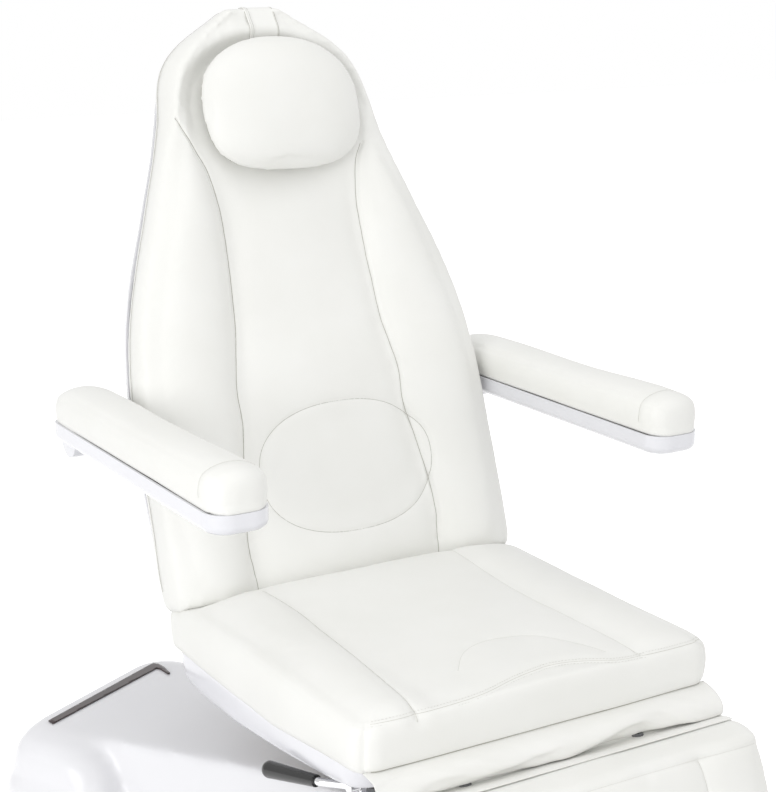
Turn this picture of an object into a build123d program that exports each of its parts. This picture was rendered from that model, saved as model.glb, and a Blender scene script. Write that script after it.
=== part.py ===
from build123d import *
import math
import os

os.makedirs("parts", exist_ok=True)

# Electric beauty chair, in millimetres
# The origin is on the floor under the swivel axis, +Z is up and the sitter faces -Y

# Clearances and shared stock sizes
soft_gap = 0.3
slide_gap = 0.3
pivot_gap = 0.05
turn_gap = 0.5
overrun = 5.0
tube_wall = 2.5
round_steps = 3
plate_wall = 8.0

# Seat
seat_width = 606.0
seat_top = 600.0
seat_front = -303.0
seat_rear = 278.0
seat_cushion_height = 73.0
seat_side_bulge = 5.0
seat_front_round = 12.0
seat_crown = 10.0
seat_bolster_rise = 9.0
seat_valley_depth = 5.0
seat_seam_front_share = 0.58
seat_seam_rear_share = 0.55
seat_front_quilt_share = 0.4
seat_rear_quilt_share = 0.6
board_thickness = 12.0
board_inset = 25.0
rail_height = 30.0
rail_width = 30.0
rail_inset = 98.0
cross_height = 24.0
cross_width = 30.0
rear_ear_radius = 16.0

# Seat pan, a skirt of glossy plastic under the cushion
pan_rim_inset = 15.0
pan_floor_inset = 33.0
pan_wall = 3.5
pan_rear_depth = 72.0
pan_front_depth = 20.0
pan_rear_overhang = 24.0
pan_lip_inset = 71.0

# Backrest, measured up its face from the seat and out from its face
back_foot = 241.0
recline_rest_angle = 19.4
back_sink = 15.0
back_length = 955.0
back_half_width = 322.0
cushion_depth = 60.0
shell_depth = 40.0
shell_inset = 6.0
shell_wall = 4.0
shell_side_share = 0.526
back_bolster_rise = 22.0
back_valley_depth = 6.0
back_crown = 5.0
head_dish = 14.0
head_start_share = 0.68
head_bolster_share = 0.45
top_start_share = 0.89
top_flat_share = 0.88
top_setback = 10.0
back_side_bulge = 7.0
recline_pivot_below = 60.0
recline_pivot_behind = 78.0
recline_travel_angle = 70.0
upright_width = 25.0
upright_depth = 32.0
upright_offset = 150.0
upright_below_top = 155.0
bar_radius = 10.0
lumbar_height = 170.0
lumbar_half_width = 147.0
lumbar_half_height = 108.0
lumbar_rise = 15.0

# Headrest
pillow_half_width = 141.0
pillow_below_top = 177.0
pillow_height = 218.0
pillow_thickness = 78.0
pillow_face_share = 0.8
pillow_crown_share = 0.2
pillow_bulge_share = 0.3
strap_width = 55.0
strap_thickness = 2.5

# Armrests
arm_inner = 329.0
arm_width = 96.0
arm_front = -125.0
arm_rear = 477.0
arm_top = 919.0
arm_pad_height = 60.0
arm_shell_height = 30.0
arm_corner = 34.0
arm_shell_round = 12.0
arm_pad_rear_share = 0.78
arm_pad_end_share = 0.35
arm_pad_side_share = 0.82
arm_pad_bulge_share = 0.12
arm_pad_crown_share = 0.18
arm_shell_wall = 4.0
arm_pivot_drop = 80.0
arm_boss_radius = 28.0
arm_stub_radius = 8.0
arm_disc_thickness = 6.0
middle_bar_radius = 12.0

# Leg rest, measured down its face from its hinge and out from its hinge
leg_hang_angle = 64.0
leg_hinge_y = -290.0
leg_hinge_z = 489.0
leg_length = 480.0
leg_face = 111.0
leg_cushion_height = 73.0
leg_end_front = 50.0
leg_end_back = 17.0
leg_foot_round = 20.0
leg_half_width = 300.0
leg_foot_half_width = 272.0
leg_seam_share = 0.62
leg_pan_depth = 32.0
leg_pan_start = 58.0
leg_pan_inset = 16.0
leg_tube_radius = 11.0
leg_tube_depth = 22.0
leg_tube_start = 12.0
leg_lug_radius = 14.0

# Gusset between the seat and the leg rest
flap_thickness = 2.0
flap_half_width = 284.0
flap_bulge = 14.0

# Actuators
crank_length = 60.0
crank_offset = 60.0
crank_width = 20.0
crank_pin_radius = 5.0
eye_thickness = 8.0
eye_height = 36.0
slot_gap = 1.2
actuator_radius = 22.0
actuator_rod_radius = 9.0
actuator_length = 190.0
motor_radius = 20.0
motor_length = 95.0
pin_radius = 6.0

# Tilt
tilt_pivot_y = 150.0
tilt_pivot_z = 415.0
tilt_cheek_inner = 98.0
tilt_cheek_radius = 20.0
tilt_actuator_y = -120.0
tilt_actuator_radius = 25.0
tilt_actuator_height = 88.0
tilt_rod_radius = 10.0
tilt_pad_gap = 1.0

# Swivel
turntable_radius = 165.0
turntable_thickness = 8.0
bearing_outer_radius = 90.0
bearing_inner_radius = 60.0
bearing_height = 14.0

# Lift column
column_side = 150.0
column_wall = 5.0
column_corner = 12.0
column_top = 336.0
stage_step = 4.0
inner_cap_height = 16.0
cap_thickness = 6.0

# Base, which the chair stands turned on as it swivels
base_turn_angle = 28.3
plate_thickness = 10.0
cover_wall = 5.0
cover_foot = 3.0
skirt_top = 52.0
skirt_step = 8.0
rear_half_width = 272.0
rear_end = 735.0
rear_start = 430.0
rear_corner = 120.0
lobe_top_half_width = 244.0
lobe_top_rear = 712.0
lobe_top_start = 480.0
lobe_corner = 85.0
lobe_top = 245.0
pod_top = 323.0
pod_top_start = 560.0
pod_corner = 55.0
waist_half_width = 190.0
cowl_foot_front = -150.0
cowl_top_half_width = 152.0
cowl_top_front = -112.0
cowl_top = 350.0
cowl_flat_end = 210.0
cowl_corner = 50.0
front_half_width = 235.0
front_end = -335.0
front_rear = 90.0
front_corner = 150.0
waist_blend = 60.0
nose_top = 190.0
strip_half_width = 144.0
strip_rear = 664.0
strip_depth = 28.0
strip_narrow_depth = 13.0
strip_thickness = 3.0
levelling_radius = 8.0
inlet_width = 50.0
inlet_height = 28.0
inlet_depth = 24.0
inlet_level = 95.0
inlet_flange = 5.0
control_width = 180.0
control_depth = 130.0
control_height = 60.0
control_centre = 520.0
control_corner = 5.0

# Swivel lock lever under the right of the seat
lever_pivot_x = -262.0
lever_pivot_y = -205.0
lever_pivot_z = 466.0
lever_neck = (-290.0, -168.0, 463.0)
lever_tip = (-314.0, -62.0, 444.0)
lever_rod_radius = 6.0
lever_grip_radius = 13.0
lever_neck_radius = 9.0
lever_hub_radius = 10.0
lever_bracket_width = 8.0
lever_tang = 40.0


def cos_of(angle):
    """Cosine of an angle in degrees."""
    return math.cos(math.radians(angle))


def sin_of(angle):
    """Sine of an angle in degrees."""
    return math.sin(math.radians(angle))


# Shared places worked out from the sizes above
seat_base = seat_top - seat_cushion_height
rail_top = seat_base - board_thickness
rail_offset = seat_width / 2 - rail_inset
back_up = (sin_of(recline_rest_angle), cos_of(recline_rest_angle))
back_out = (-cos_of(recline_rest_angle), sin_of(recline_rest_angle))
leg_down = (-cos_of(leg_hang_angle), -sin_of(leg_hang_angle))
leg_out = (-sin_of(leg_hang_angle), cos_of(leg_hang_angle))


def back_point(up, out):
    """The side-view place of a point given up the backrest's face and out from it."""
    y = back_foot + up * back_up[0] + out * back_out[0]
    z = seat_top + up * back_up[1] + out * back_up[0]
    return (y, z)


recline_pivot = back_point(-recline_pivot_below, -recline_pivot_behind)
arm_pivot_rise = arm_top - arm_pivot_drop - seat_top + recline_pivot_behind * back_up[0]
arm_pivot = back_point(arm_pivot_rise / back_up[1], -recline_pivot_behind)
upright_length = back_length - upright_below_top
pillow_centre_up = back_length - pillow_below_top


def leg_point(down, out):
    """The side-view place of a point given down the leg rest from its hinge and out from it."""
    y = leg_hinge_y + down * leg_down[0] + out * leg_out[0]
    z = leg_hinge_z + down * leg_down[1] + out * leg_out[1]
    return (y, z)


def section_plane(place, along):
    """A plane across a cushion, with X across the chair and Y out of the cushion's face."""
    return Plane(origin=(0, place[0], place[1]), x_dir=(1, 0, 0), z_dir=(0, along[0], along[1]))


def block(x_low, x_high, y_low, y_high, z_low, z_high):
    """A box between two corners."""
    size = (x_high - x_low, y_high - y_low, z_high - z_low)
    return Pos((x_low + x_high) / 2, (y_low + y_high) / 2, (z_low + z_high) / 2) * Box(*size)


def rod_x(x_low, x_high, y, z, radius):
    """A round bar across the chair."""
    return Pos((x_low + x_high) / 2, y, z) * Rot(0, 90, 0) * Cylinder(radius, x_high - x_low)


def rod_y(x, y_low, y_high, z, radius):
    """A round bar along the chair."""
    return Pos(x, (y_low + y_high) / 2, z) * Rot(90, 0, 0) * Cylinder(radius, y_high - y_low)


def rod_z(x, y, z_low, z_high, radius):
    """An upright round bar."""
    return Pos(x, y, (z_low + z_high) / 2) * Cylinder(radius, z_high - z_low)


def rod_between(start, end, start_radius, end_radius):
    """A round bar or cone between two points."""
    axis = Vector(*end) - Vector(*start)
    plane = Plane(origin=start, z_dir=axis)
    align = (Align.CENTER, Align.CENTER, Align.MIN)
    if start_radius == end_radius:
        return plane * Cylinder(start_radius, axis.length, align=align)
    return plane * Cone(start_radius, end_radius, axis.length, align=align)


def side_bar(x_low, x_high, start, end, width):
    """A flat bar standing on edge between two side-view places."""
    run = Vector(0, end[0] - start[0], end[1] - start[1])
    plane = Plane(origin=(x_low, start[0], start[1]), x_dir=run, z_dir=(1, 0, 0))
    bar = Pos(run.length / 2, 0, (x_high - x_low) / 2) * Box(run.length, width, x_high - x_low)
    return plane * bar


def quilted(plane, half_width, seam, back, edge, valley, bolster, crown, bulge):
    """A cross-section with bulging sides, two bolsters and a middle panel between sewn valleys."""
    foot = half_width - bulge
    bolster_x = (foot + seam) / 2
    right = [
        ThreePointArc((foot, back), (half_width, (back + edge) / 2), (foot, edge)),
        ThreePointArc((foot, edge), (bolster_x, bolster), (seam, valley)),
    ]
    left = [
        ThreePointArc((-seam, valley), (-bolster_x, bolster), (-foot, edge)),
        ThreePointArc((-foot, edge), (-half_width, (back + edge) / 2), (-foot, back)),
    ]
    middle = ThreePointArc((seam, valley), (0, crown), (-seam, valley))
    floor = Line((-foot, back), (foot, back))
    return plane * make_face([floor] + right + [middle] + left)


def padded(plane, half_width, back, front, bulge, crown):
    """A cross-section with a flat back, bulging sides and a crowned front."""
    foot = half_width - bulge
    edges = [
        Line((-foot, back), (foot, back)),
        ThreePointArc((foot, back), (half_width, (back + front) / 2), (foot, front)),
        ThreePointArc((foot, front), (0, front + crown), (-foot, front)),
        ThreePointArc((-foot, front), (-half_width, (back + front) / 2), (-foot, back)),
    ]
    return plane * make_face(edges)


def round_stations(radius):
    """How far in and how far down each step of a rounded edge lies, from its end inward."""
    steps = []
    for step in range(round_steps + 1):
        angle = 90 * step / round_steps
        steps.append((radius * (1 - cos_of(angle)), radius * (1 - sin_of(angle))))
    return steps


def save(name, shape):
    """Write one sub-part."""
    solids = shape.solids()
    body = solids[0] if len(solids) == 1 else Compound(children=list(solids))
    export_step(body, "parts/" + name + ".step")


# Base outline, seen from above with the chair's rear at +Y before it is turned

def base_rectangle(half_width, low, high, corner, inset):
    """A rounded rectangle of the base's plan, drawn in by an inset."""
    width = 2 * (half_width - inset)
    depth = high - low - 2 * inset
    return Pos(0, (low + high) / 2) * RectangleRounded(width, depth, corner - inset)


def base_plan(inset):
    """The hourglass plan of the base, with its inner corners rounded."""
    rear = base_rectangle(rear_half_width, rear_start, rear_end, rear_corner, inset)
    waist = base_rectangle(waist_half_width, cowl_foot_front, rear_end - rear_corner, rear_corner, inset)
    front = base_rectangle(front_half_width, front_end, front_rear, front_corner, inset)
    plan = rear + waist + front
    side = waist_half_width - inset
    inner_corners = [v for v in plan.vertices() if abs(abs(v.X) - side) < soft_gap]
    return fillet(inner_corners, waist_blend + inset)


def tower(levels, inset):
    """A tapering body through plans at rising levels, each a half width, front, rear and corner."""
    plans = []
    for number, (level, half_width, low, high, corner) in enumerate(levels):
        if number == 0:
            height = skirt_top / 2 if inset == 0 else -overrun
        else:
            height = level - inset
        plans.append(Pos(0, 0, height) * base_rectangle(half_width, low, high, corner, inset))
    return loft(plans, ruled=True)


def lobe_levels():
    """The rear lobe's plans, wide below and rolled over towards the flat of its top."""
    levels = [
        (0, rear_half_width - skirt_step, rear_start + skirt_step, rear_end - skirt_step, rear_corner),
        (lobe_top, lobe_top_half_width, lobe_top_start, lobe_top_rear, lobe_corner),
    ]
    return levels


# Level, half width, front, rear and corner of the hood on the rear lobe
hood_levels = (
    (0.0, 228.0, 478.0, 700.0, 62.0),
    (268.0, 226.0, 492.0, 699.0, 60.0),
    (298.0, 218.0, 515.0, 696.0, 58.0),
    (315.0, 196.0, 538.0, 689.0, 55.0),
    (323.0, 160.0, 560.0, 680.0, 45.0),
)


def base_form(inset):
    """The outer form of the base cover, or with an inset the hollow inside it."""
    foot = cover_foot if inset == 0 else -overrun
    skirt = Pos(0, 0, foot) * extrude(base_plan(inset), skirt_top - inset - foot)
    lobe = tower(lobe_levels(), inset)
    hood = tower(hood_levels, inset)
    cowl = tower((
        (0, waist_half_width - skirt_step, cowl_foot_front, rear_end - rear_corner, cowl_corner),
        (cowl_top, cowl_top_half_width, cowl_top_front, rear_end - rear_corner + skirt_step, cowl_corner),
    ), inset)
    nose = tower((
        (0, front_half_width - skirt_step, front_end + skirt_step, front_rear - skirt_step,
         front_corner - skirt_step),
        (nose_top, cowl_top_half_width + skirt_step, cowl_foot_front, front_rear - cowl_corner, cowl_corner),
    ), inset)
    return (skirt + lobe + hood + cowl + nose) & base_ceiling(inset)


def base_ceiling(inset):
    """The space under the base's top, which falls from the column to the rear."""
    edges = Polyline(
        (front_end - overrun, -2 * overrun),
        (front_end - overrun, cowl_top - inset),
        (cowl_flat_end, cowl_top - inset),
        (pod_top_start, pod_top - inset),
        (rear_end + overrun, pod_top - inset),
        (rear_end + overrun, -2 * overrun),
        close=True,
    )
    side = Plane(origin=(-rear_half_width - overrun, 0, 0), x_dir=(0, 1, 0), z_dir=(1, 0, 0))
    return extrude(side * make_face(edges), 2 * (rear_half_width + overrun))


def on_base(shape):
    """Turn a piece drawn square to the base into its place under the chair."""
    return Rot(0, 0, base_turn_angle) * shape


def column_tube(side, low, high):
    """One square stage of the lift column."""
    outer = extrude(RectangleRounded(side, side, column_corner), high - low)
    inner_side = side - 2 * column_wall
    inner = extrude(RectangleRounded(inner_side, inner_side, column_corner - column_wall), high - low)
    return Pos(0, 0, low) * (outer - inner)


def levelling_places():
    """The four levelling screws, near the corners of the base plate."""
    front_x = front_half_width - front_corner / 2
    rear_x = rear_half_width - rear_corner / 2
    front_y = front_end + front_corner / 2
    rear_y = rear_end - rear_corner / 2
    return [(front_x, front_y), (-front_x, front_y), (rear_x, rear_y), (-rear_x, rear_y)]


def build_base():
    """The fixed base: plate, cover, trim, inlet, control box, motor and outer column."""
    plate = extrude(base_plan(cover_wall + soft_gap), plate_thickness)
    screw_list = []
    for x, y in levelling_places():
        plate = plate - rod_z(x, y, -overrun, plate_thickness + overrun, levelling_radius + pivot_gap)
        screw = rod_z(x, y, soft_gap, plate_thickness + levelling_radius, levelling_radius)
        socket = Pos(x, y, plate_thickness + levelling_radius) * extrude(
            RegularPolygon(levelling_radius / 2, 6), -levelling_radius)
        screw_list.append(screw - socket)
    save("base_plate", on_base(plate))
    save("levelling_screws", on_base(Compound(children=screw_list)))

    cover = base_form(0) - base_form(cover_wall)
    well_side = column_side + 2 * turn_gap
    well = extrude(RectangleRounded(well_side, well_side, column_corner), cowl_top + overrun)
    cover = cover - well
    strip = strip_block(0)
    cover = cover - strip_block(soft_gap)
    cover = cover - inlet_body(soft_gap)
    save("base_cover", on_base(cover))
    save("rear_trim_strip", on_base(strip))
    save("power_inlet", on_base(inlet_body(0) + inlet_face() - inlet_cavity()))
    save("control_box", on_base(control_box()))
    save("lift_column_outer", on_base(column_tube(column_side, plate_thickness, column_top)))
    save("lift_motor", on_base(lift_motor()))


def strip_block(gap):
    """The dark inlay let into the rear of the base's top, narrower at its right end."""
    half = strip_half_width + gap
    outline = Polyline(
        (-half, strip_rear + gap),
        (half, strip_rear + gap),
        (half, strip_rear - strip_depth - gap),
        (-half, strip_rear - strip_narrow_depth - gap),
        close=True,
    )
    low = pod_top - strip_thickness - gap
    return Pos(0, 0, low) * extrude(make_face(outline), pod_top - low)


def inlet_body(gap):
    """The inlet's body, which passes through the rear wall of the base."""
    half = inlet_width / 2 + gap
    wall = rear_end - skirt_step
    return block(-half, half, wall - inlet_depth, wall,
                 inlet_level - inlet_height / 2 - gap, inlet_level + inlet_height / 2 + gap)


def inlet_face():
    """The inlet's flange, flat on the outside of the rear wall."""
    half = inlet_width / 2 + inlet_flange
    half_height = inlet_height / 2 + inlet_flange
    wall = rear_end - skirt_step
    return block(-half, half, wall, wall + strip_thickness,
                 inlet_level - half_height, inlet_level + half_height)


def inlet_cavity():
    """The recess that a mains plug goes into."""
    half = inlet_width / 2 - inlet_flange
    half_height = inlet_height / 2 - inlet_flange
    deep = rear_end - skirt_step - inlet_depth + inlet_flange
    return block(-half, half, deep, rear_end + overrun,
                 inlet_level - half_height, inlet_level + half_height)


def control_box():
    """The box that holds the power supply and motor drive."""
    half = control_width / 2
    box = block(-half, half, control_centre - control_depth / 2, control_centre + control_depth / 2,
                plate_thickness, plate_thickness + control_height)
    return fillet(box.edges().filter_by(Axis.Z), control_corner)


def lift_motor():
    """The sealed gear motor beside the foot of the column."""
    gearbox_rear = column_side / 2 + 2 * motor_radius
    gearbox = block(-2 * motor_radius, 2 * motor_radius, column_side / 2, gearbox_rear,
                    plate_thickness, plate_thickness + 4 * motor_radius)
    level = plate_thickness + 2 * motor_radius
    motor = rod_y(0, gearbox_rear - overrun, gearbox_rear + motor_length, level, 1.5 * motor_radius)
    return gearbox + motor


def build_column():
    """The two moving stages of the lift column and the swivel bearing on top."""
    middle_side = column_side - 2 * column_wall - 2 * slide_gap
    inner_side = middle_side - 2 * column_wall - 2 * slide_gap
    middle = column_tube(middle_side, plate_thickness + stage_step, column_top + stage_step)
    inner_top = column_top + inner_cap_height
    inner = column_tube(inner_side, plate_thickness + 2 * stage_step, inner_top)
    cap = extrude(RectangleRounded(inner_side, inner_side, column_corner), -cap_thickness)
    inner = inner + Pos(0, 0, inner_top) * cap
    save("lift_column_middle", on_base(middle))
    save("lift_column_inner", on_base(inner))
    ring = rod_z(0, 0, inner_top, inner_top + bearing_height, bearing_outer_radius)
    save("swivel_bearing", ring - rod_z(0, 0, inner_top - overrun, inner_top + bearing_height + overrun,
                                        bearing_inner_radius))


def turntable_level():
    """The underside of the turntable plate."""
    return column_top + inner_cap_height + bearing_height + soft_gap


def build_turntable():
    """The plate that turns on the bearing, with the cheeks and actuator of the seat tilt."""
    low = turntable_level()
    top = low + turntable_thickness
    plate = rod_z(0, 0, low, top, turntable_radius)
    spigot = rod_z(0, 0, low - bearing_height + stage_step, low, bearing_inner_radius - pivot_gap)
    save("turntable", plate + spigot)
    for side, name in ((1, "left"), (-1, "right")):
        inner = side * tilt_cheek_inner
        outer = side * (tilt_cheek_inner + plate_wall)
        x_low, x_high = min(inner, outer), max(inner, outer)
        stem = side_bar(x_low, x_high, (tilt_pivot_y - 2 * tilt_cheek_radius, top + tilt_cheek_radius),
                        (tilt_pivot_y, tilt_pivot_z), 2 * tilt_cheek_radius)
        cheek = stem + rod_x(x_low, x_high, tilt_pivot_y, tilt_pivot_z, tilt_cheek_radius)
        foot = block(x_low, x_high, 0, tilt_pivot_y - 2 * tilt_cheek_radius, top, top + 2 * tilt_cheek_radius)
        cheek = (cheek + foot) & block(x_low, x_high, 0, 2 * tilt_pivot_y, top, tilt_pivot_z + 2 * tilt_cheek_radius)
        cheek = cheek - rod_x(x_low - overrun, x_high + overrun, tilt_pivot_y, tilt_pivot_z,
                              pin_radius + pivot_gap)
        save("tilt_cheek_" + name, cheek)
    pins = []
    for side in (1, -1):
        ends = (side * (tilt_cheek_inner - stage_step), side * (tilt_cheek_inner + 3 * plate_wall))
        pins.append(rod_x(min(ends), max(ends), tilt_pivot_y, tilt_pivot_z, pin_radius))
    save("tilt_pins", Compound(children=pins))
    tube_top = top + tilt_actuator_height
    body = rod_z(0, tilt_actuator_y, top, tube_top, tilt_actuator_radius)
    bore = rod_z(0, tilt_actuator_y, top + plate_wall, tube_top + overrun, tilt_rod_radius + pivot_gap)
    save("tilt_actuator", body - bore)
    save("tilt_actuator_rod", rod_z(0, tilt_actuator_y, top + plate_wall + turn_gap,
                                    rail_top - cross_height - tilt_pad_gap, tilt_rod_radius))


def cross_member(y_centre):
    """A square bar between the seat rails, under the board."""
    half = rail_offset - rail_width / 2
    return block(-half, half, y_centre - cross_width / 2, y_centre + cross_width / 2,
                 rail_top - cross_height, rail_top)


def hinge_ears(y, z, ear_start, radius):
    """Two flat ears that carry hinge pins beside the swinging frame."""
    ears = []
    for side in (1, -1):
        inner = side * (upright_offset - upright_width / 2 - turn_gap - plate_wall)
        outer = side * (upright_offset - upright_width / 2 - turn_gap)
        x_low, x_high = min(inner, outer), max(inner, outer)
        ear = side_bar(x_low, x_high, ear_start, (y, z), radius) + rod_x(x_low, x_high, y, z, radius)
        ears.append(ear - rod_x(x_low - overrun, x_high + overrun, y, z, pin_radius + pivot_gap))
    return ears


def hinge_pins(y, z):
    """The two pins of one hinge."""
    pins = []
    for side in (1, -1):
        inner = side * (upright_offset - upright_width / 2 - 2 * plate_wall)
        outer = side * (upright_offset + upright_width / 2 + stage_step)
        pins.append(rod_x(min(inner, outer), max(inner, outer), y, z, pin_radius))
    return Compound(children=pins)


front_cross_y = seat_front + 2 * cross_width
rear_cross_y = seat_rear - cross_width / 2 - overrun


def build_seat_frame():
    """The steel frame under the seat, with the hinge ears of the backrest, leg rest and tilt."""
    for side, name in ((1, "left"), (-1, "right")):
        low = side * rail_offset - rail_width / 2
        rail = block(low, low + rail_width, seat_front + cross_width, seat_rear - overrun,
                     rail_top - rail_height, rail_top)
        hollow = block(low + tube_wall, low + rail_width - tube_wall, seat_front, seat_rear,
                       rail_top - rail_height + tube_wall, rail_top - tube_wall)
        save("seat_rail_" + name, rail - hollow)
    front_bar = cross_member(front_cross_y)
    front_start = (front_cross_y, rail_top - cross_height / 2)
    for ear in hinge_ears(leg_hinge_y, leg_hinge_z, front_start, leg_lug_radius):
        front_bar = front_bar + ear
    save("seat_cross_front", front_bar)
    rear_bar = cross_member(rear_cross_y)
    rear_start = (rear_cross_y + cross_width / 2 - stage_step, rail_top - cross_height / 2)
    for ear in hinge_ears(recline_pivot[0], recline_pivot[1], rear_start, rear_ear_radius):
        rear_bar = rear_bar + ear
    rear_bar = rear_bar - seat_keep_out()
    save("seat_cross_rear", rear_bar)
    middle_bar = cross_member(tilt_pivot_y)
    for side in (1, -1):
        near = side * (tilt_cheek_inner + plate_wall + turn_gap)
        far = side * (tilt_cheek_inner + 2 * plate_wall + turn_gap)
        x_low, x_high = min(near, far), max(near, far)
        hanger = side_bar(x_low, x_high, (tilt_pivot_y, rail_top - cross_height / 2),
                          (tilt_pivot_y, tilt_pivot_z), cross_width)
        eye = rod_x(x_low, x_high, tilt_pivot_y, tilt_pivot_z, cross_width / 2)
        hole = rod_x(x_low - overrun, x_high + overrun, tilt_pivot_y, tilt_pivot_z, pin_radius + pivot_gap)
        middle_bar = middle_bar + (hanger + eye - hole)
    save("seat_cross_middle", middle_bar)
    save("seat_cross_tilt", cross_member(tilt_actuator_y))
    save("leg_hinge_pins", hinge_pins(leg_hinge_y, leg_hinge_z))
    save("back_hinge_pins", hinge_pins(recline_pivot[0], recline_pivot[1]))
    half = seat_width / 2 - board_inset
    save("seat_board", block(-half, half, seat_front + board_inset, seat_rear - soft_gap,
                             rail_top, seat_base))


def seat_keep_out():
    """The space of the seat board and cushion, which the rear ears stay behind."""
    half = seat_width / 2
    return block(-half, half, seat_front, seat_rear + soft_gap, rail_top, seat_top)


def seat_stations():
    """Places along the seat, with the drop of the rounded front edge and the depth of the quilting."""
    stations = []
    for inward, drop in round_stations(seat_front_round):
        stations.append((seat_front + inward, drop,
                         seat_front_quilt_share * inward / seat_front_round))
    stations.append((seat_front + 4 * seat_front_round, 0, 1.0))
    stations.append((seat_rear - 4 * seat_front_round, 0, 1.0))
    stations.append((seat_rear, 0, seat_rear_quilt_share))
    return stations


def seat_sections():
    """Cross-sections of the seat cushion from front to rear."""
    faces = []
    for y, drop, relief_share in seat_stations():
        along = (seat_rear - y) / (seat_rear - seat_front)
        seam_share = seat_seam_rear_share + along * (seat_seam_front_share - seat_seam_rear_share)
        half = seat_width / 2 - drop / 2
        top = seat_cushion_height - drop
        edge = top - seat_bolster_rise
        valley = top - relief_share * seat_valley_depth
        bolster = top + relief_share * seat_bolster_rise / 2
        crown = valley + soft_gap + relief_share * seat_crown / 2
        plane = section_plane((y, seat_base), (-1, 0))
        faces.append(quilted(plane, half, seam_share * half, 0, edge, valley, bolster, crown,
                             seat_side_bulge))
    return faces


def build_seat_soft():
    """The seat cushion, cut back where the backrest stands over it."""
    cushion = loft(seat_sections(), ruled=True)
    foot = back_point(-back_sink - soft_gap, 0)
    under_back = Plane(origin=(0, foot[0], foot[1]), x_dir=(1, 0, 0), z_dir=(0, back_up[0], back_up[1]))
    save("seat_cushion", split(cushion, bisect_by=under_back, keep=Keep.BOTTOM))
    save("seat_pan", seat_pan())


def pan_face(y, depth, inset):
    """A cross-section of the seat pan, which tapers inward below its rim."""
    rim_half = seat_width / 2 - pan_rim_inset - inset
    floor_half = seat_width / 2 - pan_floor_inset - inset
    lift = 0 if inset == 0 else overrun
    points = (
        (-rim_half, lift),
        (rim_half, lift),
        (floor_half, inset - depth),
        (-floor_half, inset - depth),
    )
    plane = section_plane((y, seat_base - soft_gap), (-1, 0))
    return plane * make_face(Polyline(*points, close=True))


def seat_pan():
    """The glossy skirt round the frame, open below for the lift and behind for the hinge."""
    front = seat_front + board_inset / 2
    rear = seat_rear + pan_rear_overhang
    outer = loft([pan_face(front, pan_front_depth, 0), pan_face(rear, pan_rear_depth, 0)], ruled=True)
    inner = loft([pan_face(front + pan_wall, pan_front_depth, pan_wall),
                  pan_face(rear - pan_wall, pan_rear_depth, pan_wall)], ruled=True)
    low = seat_base - 2 * pan_rear_depth
    opening_half = seat_width / 2 - pan_lip_inset
    below = block(-opening_half, opening_half, front + pan_wall, rear + overrun,
                  low, seat_base + overrun)
    board_space = block(-seat_width / 2 + board_inset - soft_gap, seat_width / 2 - board_inset + soft_gap,
                        seat_front + board_inset - soft_gap, seat_rear + soft_gap,
                        rail_top - soft_gap, seat_base + overrun)
    return outer - inner - below - board_space


# Shares of the backrest's length and half width, from the seat to the top
back_station_shares = (
    (0.0, 0.965, 0.53),
    (0.12, 0.992, 0.53),
    (0.27, 1.0, 0.475),
    (0.42, 0.972, 0.425),
    (0.54, 0.886, 0.394),
    (0.64, 0.778, 0.392),
    (0.73, 0.682, 0.455),
    (0.815, 0.605, 0.50),
    (0.89, 0.528, 0.43),
    (0.945, 0.392, 0.30),
    (1.0, 0.17, 0.10),
)


def back_plane(up):
    """The plane across the backrest at a height up its face."""
    return section_plane(back_point(up, 0), (-back_up[0], -back_up[1]))


def back_sections():
    """Cross-sections of the back cushion from the seat to the top."""
    faces = []
    for up_share, width_share, seam_share in back_station_shares:
        half = width_share * back_half_width
        seam = seam_share * back_half_width
        in_head = up_share > head_start_share
        at_top = max(up_share - top_start_share, 0) / (1 - top_start_share)
        rise = back_bolster_rise * (head_bolster_share if in_head else 1)
        valley = 0 if in_head else -back_valley_depth
        crown = -head_dish * (1 - at_top * top_flat_share) if in_head else back_crown
        setback = at_top * top_setback
        up = up_share * (back_length + back_sink) - back_sink
        faces.append(quilted(back_plane(up), half, seam, -cushion_depth, -setback,
                             valley - setback, rise - setback, crown - setback, back_side_bulge))
    return faces


def build_back_soft():
    """The back cushion with its lumbar panel, the pillow and its strap."""
    cushion = loft(back_sections())
    lumbar_y, lumbar_z = back_point(lumbar_height, -back_valley_depth)
    lens = scale(Sphere(1), (lumbar_half_width, lumbar_rise, lumbar_half_height))
    lens = Pos(0, lumbar_y, lumbar_z) * Rot(-recline_rest_angle, 0, 0) * lens
    save("back_cushion", cushion + lens)
    save("back_shell", back_shell())
    save("headrest_pillow", pillow())
    save("headrest_strap", strap())


def shell_form(inset, front):
    """The form of the rear shell, or with an inset the hollow inside it."""
    faces = []
    for up_share, width_share, seam_share in back_station_shares:
        half = width_share * back_half_width - shell_inset - inset
        rear = -cushion_depth - shell_depth + inset
        up = up_share * (back_length - 2 * shell_inset - 2 * inset) + shell_inset + inset
        foot = half - shell_depth / 2
        edges = [
            Line((-half, front), (half, front)),
            ThreePointArc((half, front), (half - shell_depth / 8, front + (rear - front) * shell_side_share), (foot, rear)),
            Line((foot, rear), (-foot, rear)),
            ThreePointArc((-foot, rear), (-half + shell_depth / 8, front + (rear - front) * shell_side_share), (-half, front)),
        ]
        faces.append(back_plane(up) * make_face(edges))
    return loft(faces)


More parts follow.
